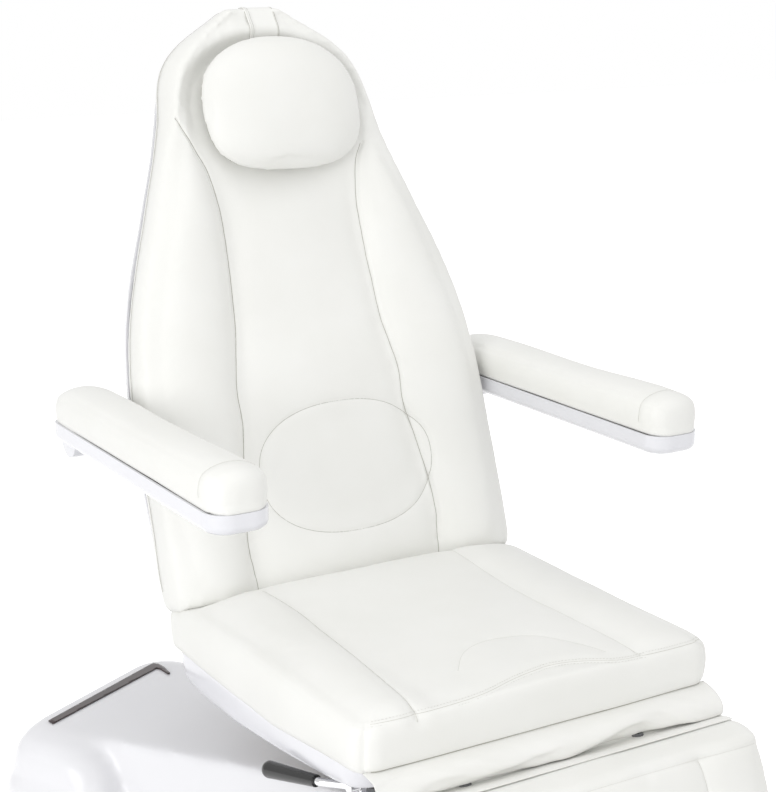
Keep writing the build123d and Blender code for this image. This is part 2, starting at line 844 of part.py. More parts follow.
def back_shell():
    """The moulded rear of the backrest, with holes for the uprights and the arm pivots."""
    shell = shell_form(0, -cushion_depth - soft_gap) - shell_form(shell_wall, -cushion_depth + overrun)
    reach = back_half_width + overrun
    shell = shell - rod_x(-reach, reach, *arm_pivot, middle_bar_radius + soft_gap)
    foot_end = back_point(back_length / 8, -recline_pivot_behind)
    for side in (1, -1):
        low = side * upright_offset - upright_width / 2 - soft_gap
        high = low + upright_width + 2 * soft_gap
        shell = shell - side_bar(low, high, recline_pivot, foot_end, upright_depth + 2 * soft_gap)
    crank_top = back_point(-shell_inset, -recline_pivot_behind)
    return shell - rod_x(-upright_offset, upright_offset, crank_top[0], crank_top[1], bar_radius)


def pillow():
    """The headrest pillow, a soft block that thins to its ends."""
    low = pillow_centre_up - pillow_height / 2
    stations = (
        (0.0, 0.58, 0.25),
        (0.10, 0.80, 0.62),
        (0.30, 0.97, 0.92),
        (0.55, 1.0, 0.95),
        (0.78, 0.93, 0.82),
        (0.92, 0.78, 0.58),
        (1.0, 0.56, 0.25),
    )
    rear = soft_gap + back_valley_depth
    faces = []
    for up_share, width_share, depth_share in stations:
        half = width_share * pillow_half_width
        depth = depth_share * pillow_thickness
        front = rear + depth * pillow_face_share
        crown = depth * pillow_crown_share
        bulge = depth * pillow_bulge_share
        faces.append(padded(back_plane(low + up_share * pillow_height), half, rear, front, bulge, crown))
    return loft(faces)


def strap():
    """The band that holds the pillow, over the top of the backrest and down its rear."""
    low = pillow_centre_up + pillow_height / 2 + soft_gap
    front = back_bolster_rise / 2
    over = back_length + soft_gap
    rear = -cushion_depth - shell_depth - soft_gap
    down = pillow_centre_up
    corner = shell_inset - turn_gap
    inner = [
        (low, front),
        (over - front / 2, front - stage_step),
        (over, -head_dish / 2),
        (over, rear + corner),
        (over - corner, rear),
        (down, rear),
    ]
    outer = [
        (down, rear - strap_thickness),
        (over - corner + strap_thickness / 2, rear - strap_thickness),
        (over + strap_thickness, rear + corner - strap_thickness / 2),
        (over + strap_thickness, -head_dish / 2),
        (over - front / 2 + strap_thickness, front),
        (low, front + strap_thickness),
    ]
    points = [(0, *back_point(up, out)) for up, out in inner + outer]
    side = make_face(Polyline(*points, close=True))
    return extrude(side, strap_width / 2, dir=(1, 0, 0), both=True)


def build_back_frame():
    """The steel frame inside the backrest."""
    bar_half = back_half_width - shell_inset - 3 * shell_wall
    middle_bar = rod_x(-bar_half, bar_half, *arm_pivot, middle_bar_radius)
    bore = rod_x(-back_half_width, back_half_width, *arm_pivot, arm_stub_radius + pivot_gap)
    top = back_point(upright_length - recline_pivot_below, -recline_pivot_behind)
    for side, name in ((1, "left"), (-1, "right")):
        low = side * upright_offset - upright_width / 2
        high = low + upright_width
        upright = side_bar(low, high, recline_pivot, top, upright_depth)
        upright = upright + rod_x(low, high, *recline_pivot, upright_depth / 2)
        pin = rod_x(low - overrun, high + overrun, *recline_pivot, pin_radius + pivot_gap)
        save("back_upright_" + name, upright - pin - middle_bar)
    save("back_bar_middle", middle_bar - bore)
    bar_end = upright_offset - upright_width / 2
    high_place = back_point(upright_length - 2 * recline_pivot_below, -recline_pivot_behind)
    save("back_bar_top", rod_x(-bar_end, bar_end, *high_place, bar_radius))
    low_place = back_point(-shell_inset, -recline_pivot_behind)
    save("back_bar_bottom", rod_x(-bar_end, bar_end, *low_place, bar_radius) + back_crank(low_place))


def crank_pin_place(pivot, lean):
    """The side-view place of a crank pin that leans to the rear of its pivot."""
    return (pivot[0] + crank_length * sin_of(lean), pivot[1] - crank_length * cos_of(lean))


def back_crank(place):
    """The crank that the back actuator pulls, with its pin."""
    pin_place = crank_pin_place(recline_pivot, recline_travel_angle / 2)
    x_low = crank_offset - plate_wall / 2
    x_high = crank_offset + plate_wall / 2
    plate = side_bar(x_low, x_high, place, pin_place, crank_width)
    plate = plate + rod_x(x_low, x_high, *pin_place, crank_width / 2)
    reach = x_high + eye_thickness + 2 * turn_gap + stage_step
    return plate + rod_x(x_high - turn_gap, reach, *pin_place, crank_pin_radius)


def crank_level(pivot, lean):
    """The height midway through a crank pin's arc."""
    return pivot[1] - crank_length * (1 + cos_of(lean)) / 2


def actuator_pair(side, pivot, lean, towards):
    """An actuator's rod with its slotted eye, and its sealed body with a motor on top."""
    level = crank_level(pivot, lean)
    pin_y = crank_pin_place(pivot, lean)[0]
    plate_face = crank_offset + plate_wall / 2 + turn_gap
    x = side * (plate_face + eye_thickness / 2)
    slot_half = crank_pin_radius + slot_gap
    arc_height = crank_length * (1 - cos_of(lean)) / 2
    eye = block(x - eye_thickness / 2, x + eye_thickness / 2, pin_y - 2 * slot_half, pin_y + 2 * slot_half,
                level - eye_height / 2, level + eye_height / 2)
    slot_reach = arc_height + slot_half
    slot = block(x - eye_thickness, x + eye_thickness, pin_y - slot_half, pin_y + slot_half,
                 level - slot_reach, level + slot_reach)
    neck = pin_y + towards * 2 * slot_half
    travel = 2 * crank_length * sin_of(lean)
    mouth = neck + towards * (travel + plate_wall if towards * lean < 0 or side > 0 else plate_wall)
    inside = mouth + towards * (actuator_length - 2 * plate_wall)
    rod_end = mouth + towards * (actuator_length - 3 * plate_wall - travel)
    rod = rod_y(x, min(neck, rod_end), max(neck, rod_end), level, actuator_rod_radius)
    end = mouth + towards * actuator_length
    body = rod_y(x, min(mouth, end), max(mouth, end), level, actuator_radius)
    bore = rod_y(x, min(mouth - towards * overrun, inside), max(mouth - towards * overrun, inside), level,
                 actuator_rod_radius + pivot_gap)
    body = body + actuator_mount((x, end, level), -towards)
    return (eye - slot) + rod, body - bore


def build_actuators():
    """The recline and leg rest actuators under the seat."""
    back_rod, back_body = actuator_pair(1, recline_pivot, recline_travel_angle / 2, -1)
    save("back_actuator_rod", back_rod)
    save("back_actuator", back_body)
    leg_rod, leg_body = actuator_pair(-1, (leg_hinge_y, leg_hinge_z), leg_hang_angle / 2, 1)
    save("leg_actuator_rod", leg_rod)
    save("leg_actuator", leg_body)


def actuator_mount(end, towards):
    """The motor and the strut that hangs an actuator from the cross bars."""
    x, y, level = end
    far = y + towards * (overrun + 2 * motor_radius)
    return block(x - motor_radius, x + motor_radius, min(y, far), max(y, far),
                 level - motor_radius, rail_top - soft_gap)


def build_leg_rest():
    """The leg rest: tube frame, rear pan, cushion and the gusset up to the seat."""
    tubes = []
    hinge = (leg_hinge_y, leg_hinge_z)
    for side, name in ((1, "left"), (-1, "right")):
        x = side * upright_offset
        start = leg_point(leg_tube_start, leg_tube_depth)
        end = leg_point(leg_length - 2 * leg_pan_inset, leg_tube_depth)
        tube = rod_between((x, *start), (x, *end), leg_tube_radius, leg_tube_radius)
        lug = rod_x(x - upright_width / 2, x + upright_width / 2, *hinge, leg_lug_radius)
        neck = side_bar(x - plate_wall / 2, x + plate_wall / 2, hinge,
                        leg_point(leg_tube_start + leg_tube_radius, leg_tube_depth), leg_tube_radius)
        pin = rod_x(x - upright_width, x + upright_width, *hinge, pin_radius + pivot_gap)
        tube = tube + lug + neck - pin
        tubes.append(tube)
        save("leg_tube_" + name, tube)
    bar_place = leg_point(2 * leg_tube_start + leg_tube_radius, leg_tube_depth)
    bar = rod_x(-upright_offset, upright_offset, *bar_place, bar_radius) + leg_crank(bar_place)
    foot_bar = rod_x(-upright_offset, upright_offset,
                     *leg_point(leg_length - 4 * leg_pan_inset, leg_tube_depth), bar_radius)
    for tube in tubes:
        bar = bar - tube
        foot_bar = foot_bar - tube
    save("leg_bar_top", bar)
    save("leg_bar_foot", foot_bar)
    save("leg_cushion", leg_cushion())
    save("leg_pan", leg_pan())
    save("front_flap", front_flap())


def leg_crank(bar_place):
    """The crank that the leg actuator pushes, with its pin."""
    pin_place = crank_pin_place((leg_hinge_y, leg_hinge_z), leg_hang_angle / 2)
    x_low = -crank_offset - plate_wall / 2
    x_high = -crank_offset + plate_wall / 2
    plate = side_bar(x_low, x_high, bar_place, pin_place, crank_width)
    plate = plate + rod_x(x_low, x_high, *pin_place, crank_width / 2)
    reach = x_low - eye_thickness - 2 * turn_gap - stage_step
    return plate + rod_x(reach, x_low + turn_gap, *pin_place, crank_pin_radius)


def leg_plane(down):
    """The plane across the leg rest at a distance down from its hinge."""
    return section_plane(leg_point(down, 0), leg_down)


def leg_half(down):
    """The half width of the leg rest, which narrows a little to its foot."""
    return leg_half_width + (leg_foot_half_width - leg_half_width) * down / leg_length


def leg_cushion():
    """The leg cushion, with its top end sloped to meet the seat when it is raised."""
    back = leg_face - leg_cushion_height
    stations = [(leg_end_back - 2 * overrun, 0)]
    for inward, drop in reversed(round_stations(leg_foot_round)):
        stations.append((leg_length - inward, drop))
    faces = []
    for down, drop in stations:
        half = leg_half(down) - drop
        top = leg_face - drop
        faces.append(quilted(leg_plane(down), half, leg_seam_share * half, back, top - seat_bolster_rise,
                             top - seat_valley_depth, top + soft_gap, top + soft_gap, seat_side_bulge))
    cushion = loft(faces, ruled=True)
    high = leg_point(leg_end_front, leg_face)
    low = leg_point(leg_end_back, back)
    along = Vector(0, high[0] - low[0], high[1] - low[1])
    normal = Vector(1, 0, 0).cross(along)
    end_plane = Plane(origin=(0, *low), x_dir=(1, 0, 0), z_dir=normal)
    middle = Vector(0, *leg_point(leg_length / 2, back))
    keep = Keep.TOP if (middle - Vector(0, *low)).dot(normal) > 0 else Keep.BOTTOM
    return split(cushion, bisect_by=end_plane, keep=keep)


def pan_box(inset):
    """The form of the leg rest's rear pan, or with an inset the hollow inside it."""
    back = leg_face - leg_cushion_height - soft_gap
    front = back if inset == 0 else back + overrun
    faces = []
    for down in (leg_pan_start + inset, leg_length - leg_pan_inset - inset):
        half = leg_half(down) - leg_pan_inset - inset
        foot = half - leg_pan_depth / 2
        points = ((-half, front), (half, front), (foot, back - leg_pan_depth + inset),
                  (-foot, back - leg_pan_depth + inset))
        faces.append(leg_plane(down) * make_face(Polyline(*points, close=True)))
    return loft(faces, ruled=True)


def leg_pan():
    """The glossy pan behind the leg cushion, notched for the frame tubes."""
    pan = pan_box(0) - pan_box(pan_wall)
    for side in (1, -1):
        x = side * upright_offset
        start = leg_point(0, leg_tube_depth)
        end = leg_point(leg_pan_start + 2 * leg_pan_inset, leg_tube_depth)
        pan = pan - rod_between((x, *start), (x, *end), leg_tube_radius + soft_gap,
                                leg_tube_radius + soft_gap)
    return pan


def front_flap():
    """The gusset of upholstery that closes the gap over the leg hinge, with one fold."""
    back = leg_face - leg_cushion_height
    low = leg_point(leg_end_back, back)
    seat_edge = (seat_front + flap_thickness, seat_base - soft_gap)
    leg_edge = (low[0] + flap_thickness, low[1] + flap_thickness)
    fold_z = (seat_edge[1] + leg_edge[1]) / 2
    front = [
        (seat_edge[0] - flap_thickness, seat_edge[1]),
        (seat_edge[0] - flap_bulge, (fold_z + seat_edge[1]) / 2),
        (seat_edge[0] - flap_thickness, fold_z),
        (leg_edge[0] - flap_thickness, leg_edge[1]),
    ]
    rear = [
        (leg_edge[0], leg_edge[1]),
        (seat_edge[0], fold_z),
        (seat_edge[0] - flap_bulge + flap_thickness, (fold_z + seat_edge[1]) / 2),
        (seat_edge[0], seat_edge[1]),
    ]
    points = [(0, y, z) for y, z in front + rear]
    side = make_face(Polyline(*points, close=True))
    return extrude(side, flap_half_width, dir=(1, 0, 0), both=True)


def arm_plan(inset):
    """The plan of an armrest, centred on its own width."""
    width = arm_width - 2 * inset
    depth = arm_rear - arm_front - 2 * inset
    return Pos(0, (arm_front + arm_rear) / 2) * RectangleRounded(width, depth, arm_corner - inset)


def arm_shell():
    """The glossy shell of an armrest with the boss of its pivot, on its own centre line."""
    rim = arm_top - arm_pad_height
    low = rim - arm_shell_height
    outer = Pos(0, 0, low) * extrude(arm_plan(0), arm_shell_height)
    outer = fillet(outer.edges().group_by(Axis.Z)[0], arm_shell_round)
    half = arm_width / 2
    boss = rod_x(-half + overrun, half - overrun, *arm_pivot, arm_boss_radius)
    boss = boss & block(-half, half, arm_front, arm_rear, low - arm_boss_radius, rim)
    hollow = Pos(0, 0, low + arm_shell_wall) * extrude(arm_plan(arm_shell_wall), arm_shell_height)
    core = block(-half, half, arm_pivot[0] - arm_boss_radius, arm_rear, low, rim + overrun)
    return (outer - (hollow - core)) + boss


def arm_pad():
    """The upholstered pad of an armrest, crowned and drawn in at its rounded ends."""
    rim = arm_top - arm_pad_height + soft_gap
    ends = []
    for inward, drop in round_stations(arm_corner):
        ends.append((inward, drop, 1 - arm_pad_end_share * drop / arm_corner))
    stations = [(arm_front + inward, drop, share) for inward, drop, share in ends]
    stations += [(arm_rear - inward, drop, share * arm_pad_rear_share) for inward, drop, share in reversed(ends)]
    faces = []
    for y, drop, height_share in stations:
        half = arm_width / 2 - drop
        height = height_share * (arm_pad_height - soft_gap)
        plane = section_plane((y, rim), (-1, 0))
        faces.append(padded(plane, half, 0, arm_pad_side_share * height, arm_pad_bulge_share * half,
                            arm_pad_crown_share * height))
    return loft(faces, ruled=True)


def build_arms():
    """Both armrests, with the carriers that keep them level as the back reclines."""
    for side, name in ((1, "left"), (-1, "right")):
        centre = side * (arm_inner + arm_width / 2)
        bore_ends = (side * (arm_inner - overrun), side * (arm_inner + arm_width - 2 * overrun))
        bore = rod_x(min(bore_ends), max(bore_ends), *arm_pivot, arm_stub_radius + pivot_gap)
        shell = Pos(centre, 0, 0) * arm_shell()
        save("arm_shell_" + name, shell - bore)
        save("arm_pad_" + name, Pos(centre, 0, 0) * arm_pad())
        disc_ends = (side * (arm_inner - turn_gap - arm_disc_thickness), side * (arm_inner - turn_gap))
        disc = rod_x(min(disc_ends), max(disc_ends), *arm_pivot,
                     arm_boss_radius - turn_gap)
        stub_ends = (side * (back_half_width - 4 * middle_bar_radius),
                     side * (arm_inner + arm_width - 2 * overrun - turn_gap))
        stub = rod_x(min(stub_ends), max(stub_ends), *arm_pivot, arm_stub_radius)
        save("arm_carrier_" + name, disc + stub)


def build_lever():
    """The swivel lock lever: bracket, bent rod and tapered grip."""
    hub = (lever_pivot_x, lever_pivot_y, lever_pivot_z)
    bracket_x = lever_pivot_x + lever_hub_radius
    plate = block(bracket_x, bracket_x + lever_bracket_width, lever_pivot_y - lever_hub_radius,
                  lever_pivot_y + lever_hub_radius, lever_pivot_z - lever_hub_radius, rail_top - rail_height)
    arm_low = rail_top - rail_height - lever_bracket_width
    arm = block(bracket_x, -rail_offset + rail_width / 2, lever_pivot_y - lever_hub_radius,
                lever_pivot_y + lever_hub_radius, arm_low, rail_top - rail_height)
    hole = rod_x(bracket_x - overrun, bracket_x + 2 * lever_bracket_width, lever_pivot_y, lever_pivot_z,
                 lever_rod_radius - stage_step / 2 + pivot_gap)
    save("lever_bracket", plate + arm - hole)
    shaft = rod_x(lever_pivot_x - lever_rod_radius, bracket_x + lever_bracket_width + stage_step,
                  lever_pivot_y, lever_pivot_z, lever_rod_radius - stage_step / 2)
    eye = rod_x(lever_pivot_x - lever_rod_radius, bracket_x - turn_gap, lever_pivot_y, lever_pivot_z,
                lever_hub_radius)
    rod = rod_between((lever_pivot_x, lever_pivot_y, lever_pivot_z), lever_neck, lever_rod_radius,
                      lever_rod_radius)
    elbow = Pos(*lever_neck) * Sphere(lever_rod_radius)
    tip = Vector(*lever_tip)
    neck = Vector(*lever_neck)
    direction = (tip - neck).normalized()
    grip_start = neck + direction * lever_hub_radius
    tang_end = neck + direction * lever_tang
    tang = rod_between(lever_neck, tuple(tang_end), lever_rod_radius, lever_rod_radius)
    save("lever_rod", shaft + eye + rod + elbow + tang)
    grip = rod_between(tuple(grip_start), lever_tip, lever_neck_radius, lever_grip_radius)
    grip = grip + Pos(*lever_tip) * Sphere(lever_grip_radius)
    bore = rod_between(lever_neck, tuple(tang_end + direction * turn_gap), lever_rod_radius + pivot_gap,
                       lever_rod_radius + pivot_gap)
    save("lever_grip", grip - bore)


build_base()
build_column()
build_turntable()
build_seat_frame()
build_seat_soft()
build_back_soft()
build_back_frame()
build_actuators()
build_leg_rest()
build_arms()
build_lever()
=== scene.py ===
import math

import bmesh
import bpy
import numpy as np
from mathutils import Matrix, Vector, noise
from mathutils.bvhtree import BVHTree


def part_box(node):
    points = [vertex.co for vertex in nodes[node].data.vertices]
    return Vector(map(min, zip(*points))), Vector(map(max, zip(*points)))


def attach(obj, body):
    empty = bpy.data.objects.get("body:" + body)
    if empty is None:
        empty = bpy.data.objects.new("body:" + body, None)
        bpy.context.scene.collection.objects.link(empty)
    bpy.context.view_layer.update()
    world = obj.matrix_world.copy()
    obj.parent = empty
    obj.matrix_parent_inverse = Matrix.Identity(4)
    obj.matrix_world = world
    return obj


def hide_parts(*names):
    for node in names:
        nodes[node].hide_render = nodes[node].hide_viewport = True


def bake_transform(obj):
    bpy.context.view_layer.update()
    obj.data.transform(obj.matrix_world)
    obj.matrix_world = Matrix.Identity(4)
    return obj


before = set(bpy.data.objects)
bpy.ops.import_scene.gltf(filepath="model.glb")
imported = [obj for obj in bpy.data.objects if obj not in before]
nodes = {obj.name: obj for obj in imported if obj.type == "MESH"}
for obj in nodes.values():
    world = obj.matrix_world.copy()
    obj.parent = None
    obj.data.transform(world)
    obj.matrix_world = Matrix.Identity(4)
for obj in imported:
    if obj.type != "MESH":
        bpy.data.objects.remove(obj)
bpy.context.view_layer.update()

MM = 0.001

# Places of the chair, in metres, as the solids have them
SEAT_TOP = 0.600
SEAT_BASE = 0.527
SEAT_FRONT = -0.310
BACK_FOOT = 0.241
BACK_ANGLE = math.radians(19.4)
LEG_ANGLE = math.radians(64.0)
LEG_HINGE = (-0.290, 0.489)

# Camera of the photograph
CAMERA_PLACE = (-1.38725, -2.15287, 1.59437)
CAMERA_YAW = math.radians(31.3)
CAMERA_PITCH = math.radians(-14.25)
CAMERA_LENS = 80.6
SIGHT = (math.sin(CAMERA_YAW) * math.cos(CAMERA_PITCH), math.cos(CAMERA_YAW) * math.cos(CAMERA_PITCH),
         math.sin(CAMERA_PITCH))

# The stuffed slabs: mesh size before they are made finer, and the most that the stuffing swells them
SLAB_VOXEL = 0.009
SLAB_CAP = 0.006

# Rays that find a surface start this far off it, and neighbours are looked for within the second
RAY_START = 0.3
NEIGHBOUR_REACH = 0.03
NEIGHBOUR_GAP = 0.0003

# The stuffing simulation
CLOTH_STEPS = 20
CLOTH_MASS = 0.4
CLOTH_STIFFNESS = 12
CLOTH_BENDING = 1.2
CLOTH_PRESSURE = 4.0


# Local frames of the three cushions: across, along and out

class Slab:
    """A cushion's own directions, with a place across it, along it and out of its face."""

    def __init__(self, origin, along, out):
        self.origin = np.array(origin)
        self.along = np.array(along)
        self.out = np.array(out)
        self.across = np.array((1.0, 0.0, 0.0))

    def local(self, points):
        """Turn world points into (across, along, out)."""
        moved = np.asarray(points) - self.origin
        return np.stack([moved @ self.across, moved @ self.along, moved @ self.out], axis=-1)

    def world(self, across, along, out):
        """Turn one (across, along, out) place into a world point."""
        return self.origin + self.across * across + self.along * along + self.out * out


seat_slab = Slab((0, 0, SEAT_TOP), (0, 1, 0), (0, 0, 1))
back_slab = Slab((0, BACK_FOOT, SEAT_TOP), (0, math.sin(BACK_ANGLE), math.cos(BACK_ANGLE)),
                 (0, -math.cos(BACK_ANGLE), math.sin(BACK_ANGLE)))
leg_slab = Slab((0, *LEG_HINGE), (0, -math.cos(LEG_ANGLE), -math.sin(LEG_ANGLE)),
                (0, -math.sin(LEG_ANGLE), math.cos(LEG_ANGLE)))


# Materials

def node_material(name):
    """A new material with its shader and output, ready for more nodes."""
    material = bpy.data.materials.new(name)
    material.use_nodes = True
    tree = material.node_tree
    return material, tree, tree.nodes["Principled BSDF"]


def add_node(tree, kind, **settings):
    """Add a shader node, with inputs by name and properties by attribute."""
    node = tree.nodes.new(kind)
    for key, value in settings.items():
        if key in node.inputs:
            node.inputs[key].default_value = value
        else:
            setattr(node, key, value)
    return node


def object_coordinates(tree, scale=(1, 1, 1)):
    """Coordinates fixed to the piece, in metres."""
    place = add_node(tree, "ShaderNodeTexCoord")
    mapping = add_node(tree, "ShaderNodeMapping")
    mapping.inputs["Scale"].default_value = scale
    tree.links.new(place.outputs["Object"], mapping.inputs["Vector"])
    return mapping.outputs["Vector"]


def texture(tree, vector, kind, **settings):
    """A noise or cell texture, laid out by coordinates."""
    node = add_node(tree, "ShaderNodeTex" + kind, **settings)
    tree.links.new(vector, node.inputs["Vector"])
    return node


def noise_colour(tree, vector, scale, low, high):
    """A soft mix of two colours by noise."""
    noise_node = texture(tree, vector, "Noise", Scale=scale, Detail=3.0)
    mix = add_node(tree, "ShaderNodeValToRGB")
    for element, position, colour in zip(mix.color_ramp.elements, (0.35, 0.65), (low, high)):
        element.position = position
        element.color = (*colour, 1)
    tree.links.new(noise_node.outputs["Fac"], mix.inputs["Fac"])
    return mix.outputs["Color"]


def bump_chain(tree, heights):
    """Bumps laid over each other, each a (height socket, strength, distance)."""
    normal = None
    for height, strength, distance in heights:
        bump = add_node(tree, "ShaderNodeBump", Strength=strength, Distance=distance)
        tree.links.new(height, bump.inputs["Height"])
        if normal is not None:
            tree.links.new(normal, bump.inputs["Normal"])
        normal = bump.outputs["Normal"]
    return normal


def surface(name, colours, colour_scale, bumps, values, stretch=(1, 1, 1)):
    """A material of two mixed colours, bumps and plain values.

    Each bump is (kind of texture, its settings, strength, distance)."""
    material, tree, shader = node_material(name)
    vector = object_coordinates(tree, stretch)
    heights = []
    for kind, settings, strength, distance in bumps:
        node = texture(tree, vector, kind, **settings)
        heights.append((node.outputs["Distance" if kind == "Voronoi" else "Fac"], strength, distance))
    tree.links.new(bump_chain(tree, heights), shader.inputs["Normal"])
    tree.links.new(noise_colour(tree, vector, colour_scale, *colours), shader.inputs["Base Color"])
    for key, value in values.items():
        shader.inputs[key].default_value = value
    return material


def leather(name, low, high, roughness=0.42):
    """Upholstery leather: pebbled grain, fine pores, faint stretch creases and a soft sheen."""
    return surface(name, (low, high), 9.0, [
        ("Noise", {"Scale": 38.0, "Detail": 5.0, "Distortion": 1.4}, 0.10, 0.0012),
        ("Noise", {"Scale": 180.0, "Detail": 2.0}, 0.12, 0.0004),
        ("Voronoi", {"Scale": 850.0, "Randomness": 0.9, "feature": "SMOOTH_F1"}, 0.22, 0.0002),
        ("Noise", {"Scale": 1900.0, "Detail": 2.0}, 0.10, 0.0001),
    ], {"Roughness": roughness, "Specular IOR Level": 0.38, "Sheen Weight": 0.12, "Sheen Roughness": 0.4})


def moulded_plastic(name, low, high, roughness, coat=0.35):
    """Glossy moulded plastic with the faint orange peel of its skin."""
    return surface(name, (low, high), 5.0, [
        ("Noise", {"Scale": 7.0, "Detail": 1.0}, 0.06, 0.004),
        ("Noise", {"Scale": 220.0, "Detail": 2.0}, 0.03, 0.0003),
    ], {"Roughness": roughness, "Coat Weight": coat, "Coat Roughness": 0.08})


def textured_plastic(name, low, high):
    """Matt plastic with a fine spark-eroded grain."""
    return surface(name, (low, high), 60.0, [("Voronoi", {"Scale": 1100.0}, 0.35, 0.0002)], {"Roughness": 0.5})


def metal(name, low, high, roughness, stretch=(1, 1, 1), grain=0.0):
    """Metal, plain or brushed along the direction that is stretched least."""
    return surface(name, (low, high), 30.0, [("Noise", {"Scale": 260.0, "Detail": 4.0}, grain, 0.0002)],
                   {"Metallic": 1.0, "Roughness": roughness}, stretch)


def painted_steel(name, low, high):
    """Powder-coated steel."""
    return surface(name, (low, high), 20.0, [("Noise", {"Scale": 700.0, "Detail": 2.0}, 0.3, 0.0003)],
                   {"Roughness": 0.45, "Coat Weight": 0.1})


def wood_ply(name, low, high):
    """Plywood with its grain along the seat."""
    return surface(name, (low, high), 14.0,
                   [("Noise", {"Scale": 30.0, "Detail": 6.0, "Distortion": 0.6}, 0.2, 0.0004)],
                   {"Roughness": 0.7}, (9, 1, 9))


LEATHER = leather("upholstery_leather", (0.815, 0.815, 0.785), (0.832, 0.832, 0.806))
LEATHER_WORN = leather("upholstery_gusset", (0.812, 0.810, 0.780), (0.834, 0.832, 0.808), 0.46)
THREAD = leather("sewing_thread", (0.66, 0.655, 0.62), (0.72, 0.715, 0.68), 0.6)
# Painted shade: darkened leather for the thin strips laid in seam grooves and along edges, standing for the
# shade there; the second is lighter.
SEAM_SHADE = leather("seam_fold", (0.38, 0.375, 0.33), (0.44, 0.435, 0.39), 0.7)
SOFT_SEAM_SHADE = leather("painted_soft_seam_shade", (0.58, 0.575, 0.53), (0.64, 0.635, 0.59), 0.6)
WHITE_PLASTIC = moulded_plastic("moulded_plastic", (0.735, 0.737, 0.770), (0.750, 0.752, 0.785), 0.20)
BASE_PLASTIC = moulded_plastic("base_plastic", (0.800, 0.800, 0.822), (0.815, 0.815, 0.838), 0.30, 0.2)
DARK_PLASTIC = moulded_plastic("dark_inlay", (0.016, 0.004, 0.006), (0.030, 0.008, 0.010), 0.12, 0.6)
BLACK_PLASTIC = textured_plastic("black_plastic", (0.012, 0.012, 0.012), (0.022, 0.022, 0.022))
GRIP_PLASTIC = moulded_plastic("grip_plastic", (0.008, 0.008, 0.008), (0.014, 0.014, 0.014), 0.25, 0.3)
CHROME = metal("chrome", (0.74, 0.74, 0.75), (0.80, 0.80, 0.81), 0.10, grain=0.02)
BRIGHT_STEEL = metal("bright_steel", (0.55, 0.55, 0.56), (0.66, 0.66, 0.67), 0.28, (1, 8, 8), 0.15)
ALUMINIUM = metal("column_aluminium", (0.62, 0.63, 0.64), (0.70, 0.71, 0.72), 0.34, (8, 8, 1), 0.2)
CAST_METAL = metal("cast_metal", (0.34, 0.34, 0.35), (0.42, 0.42, 0.43), 0.55, grain=0.5)
FRAME_STEEL = painted_steel("frame_steel", (0.085, 0.087, 0.092), (0.105, 0.107, 0.112))
PLYWOOD = wood_ply("plywood", (0.50, 0.36, 0.22), (0.66, 0.50, 0.33))

NODE_MATERIALS = {
    WHITE_PLASTIC: ("back_shell", "arm_shell_left", "arm_shell_right", "leg_pan"),
    BLACK_PLASTIC: ("power_inlet", "control_box", "back_actuator", "leg_actuator", "tilt_actuator"),
    GRIP_PLASTIC: ("lever_grip",),
    CHROME: ("lever_rod", "lever_bracket", "arm_carrier_left", "arm_carrier_right"),
    BRIGHT_STEEL: ("levelling_screws", "swivel_bearing", "back_hinge_pins", "leg_hinge_pins", "tilt_pins",
                   "back_actuator_rod", "leg_actuator_rod", "tilt_actuator_rod"),
    ALUMINIUM: ("lift_column_outer", "lift_column_middle", "lift_column_inner"),
    CAST_METAL: ("lift_motor",),
    PLYWOOD: ("seat_board",),
    FRAME_STEEL: ("base_plate", "seat_rail_left", "seat_rail_right", "seat_cross_front", "seat_cross_rear",
                  "seat_cross_middle", "seat_cross_tilt", "turntable", "tilt_cheek_left", "tilt_cheek_right",
                  "back_upright_left", "back_upright_right", "back_bar_top", "back_bar_middle",
                  "back_bar_bottom", "leg_tube_left", "leg_tube_right", "leg_bar_top", "leg_bar_foot"),
}


def dress_nodes():
    """Give each solid that stays its own finish."""
    for material, names in NODE_MATERIALS.items():
        for name in names:
            mesh = nodes[name].data
            mesh.materials.clear()
            mesh.materials.append(material)


# Mesh helpers

def add_object(name, mesh, material):
    """Link a mesh as a new smooth-shaded object."""
    obj = bpy.data.objects.new(name, mesh)
    bpy.context.scene.collection.objects.link(obj)
    mesh.materials.clear()
    mesh.materials.append(material)
    mesh.polygons.foreach_set("use_smooth", [True] * len(mesh.polygons))
    return obj


def piece_of(name, verts, faces, material):
    """A new piece from points and faces."""
    mesh = bpy.data.meshes.new(name)
    mesh.from_pydata([tuple(vert) for vert in verts], [], faces)
    mesh.update()
    return add_object(name, mesh, material)


def grid_faces(lines, rows):
    """The quads between neighbouring lines of points, each line with as many rows."""
    return [(a, a + 1, a + rows + 1, a + rows)
            for i in range(lines - 1) for a in range(i * rows, i * rows + rows - 1)]


def copy_of(node, name, material):
    """A new piece that starts from a solid's mesh."""
    return add_object(name, nodes[node].data.copy(), material)


def apply_modifiers(obj):
    """Keep what the modifiers make, and drop them."""
    graph = bpy.context.evaluated_depsgraph_get()
    made = bpy.data.meshes.new_from_object(obj.evaluated_get(graph))
    obj.modifiers.clear()
    obj.data = made
    made.polygons.foreach_set("use_smooth", [True] * len(made.polygons))


def remesh(obj, voxel):
    """Turn a piece into an even mesh."""
    modifier = obj.modifiers.new("even", "REMESH")
    modifier.mode = "VOXEL"
    modifier.voxel_size = voxel
    apply_modifiers(obj)


def subdivide(obj, levels):
    """Smooth subdivision, applied."""
    modifier = obj.modifiers.new("fine", "SUBSURF")
    modifier.levels = levels
    modifier.render_levels = levels
    apply_modifiers(obj)


def thicken(obj, thickness, offset):
    """Give a sheet its thickness, applied."""
    modifier = obj.modifiers.new("thickness", "SOLIDIFY")
    modifier.thickness = thickness
    modifier.offset = offset
    apply_modifiers(obj)


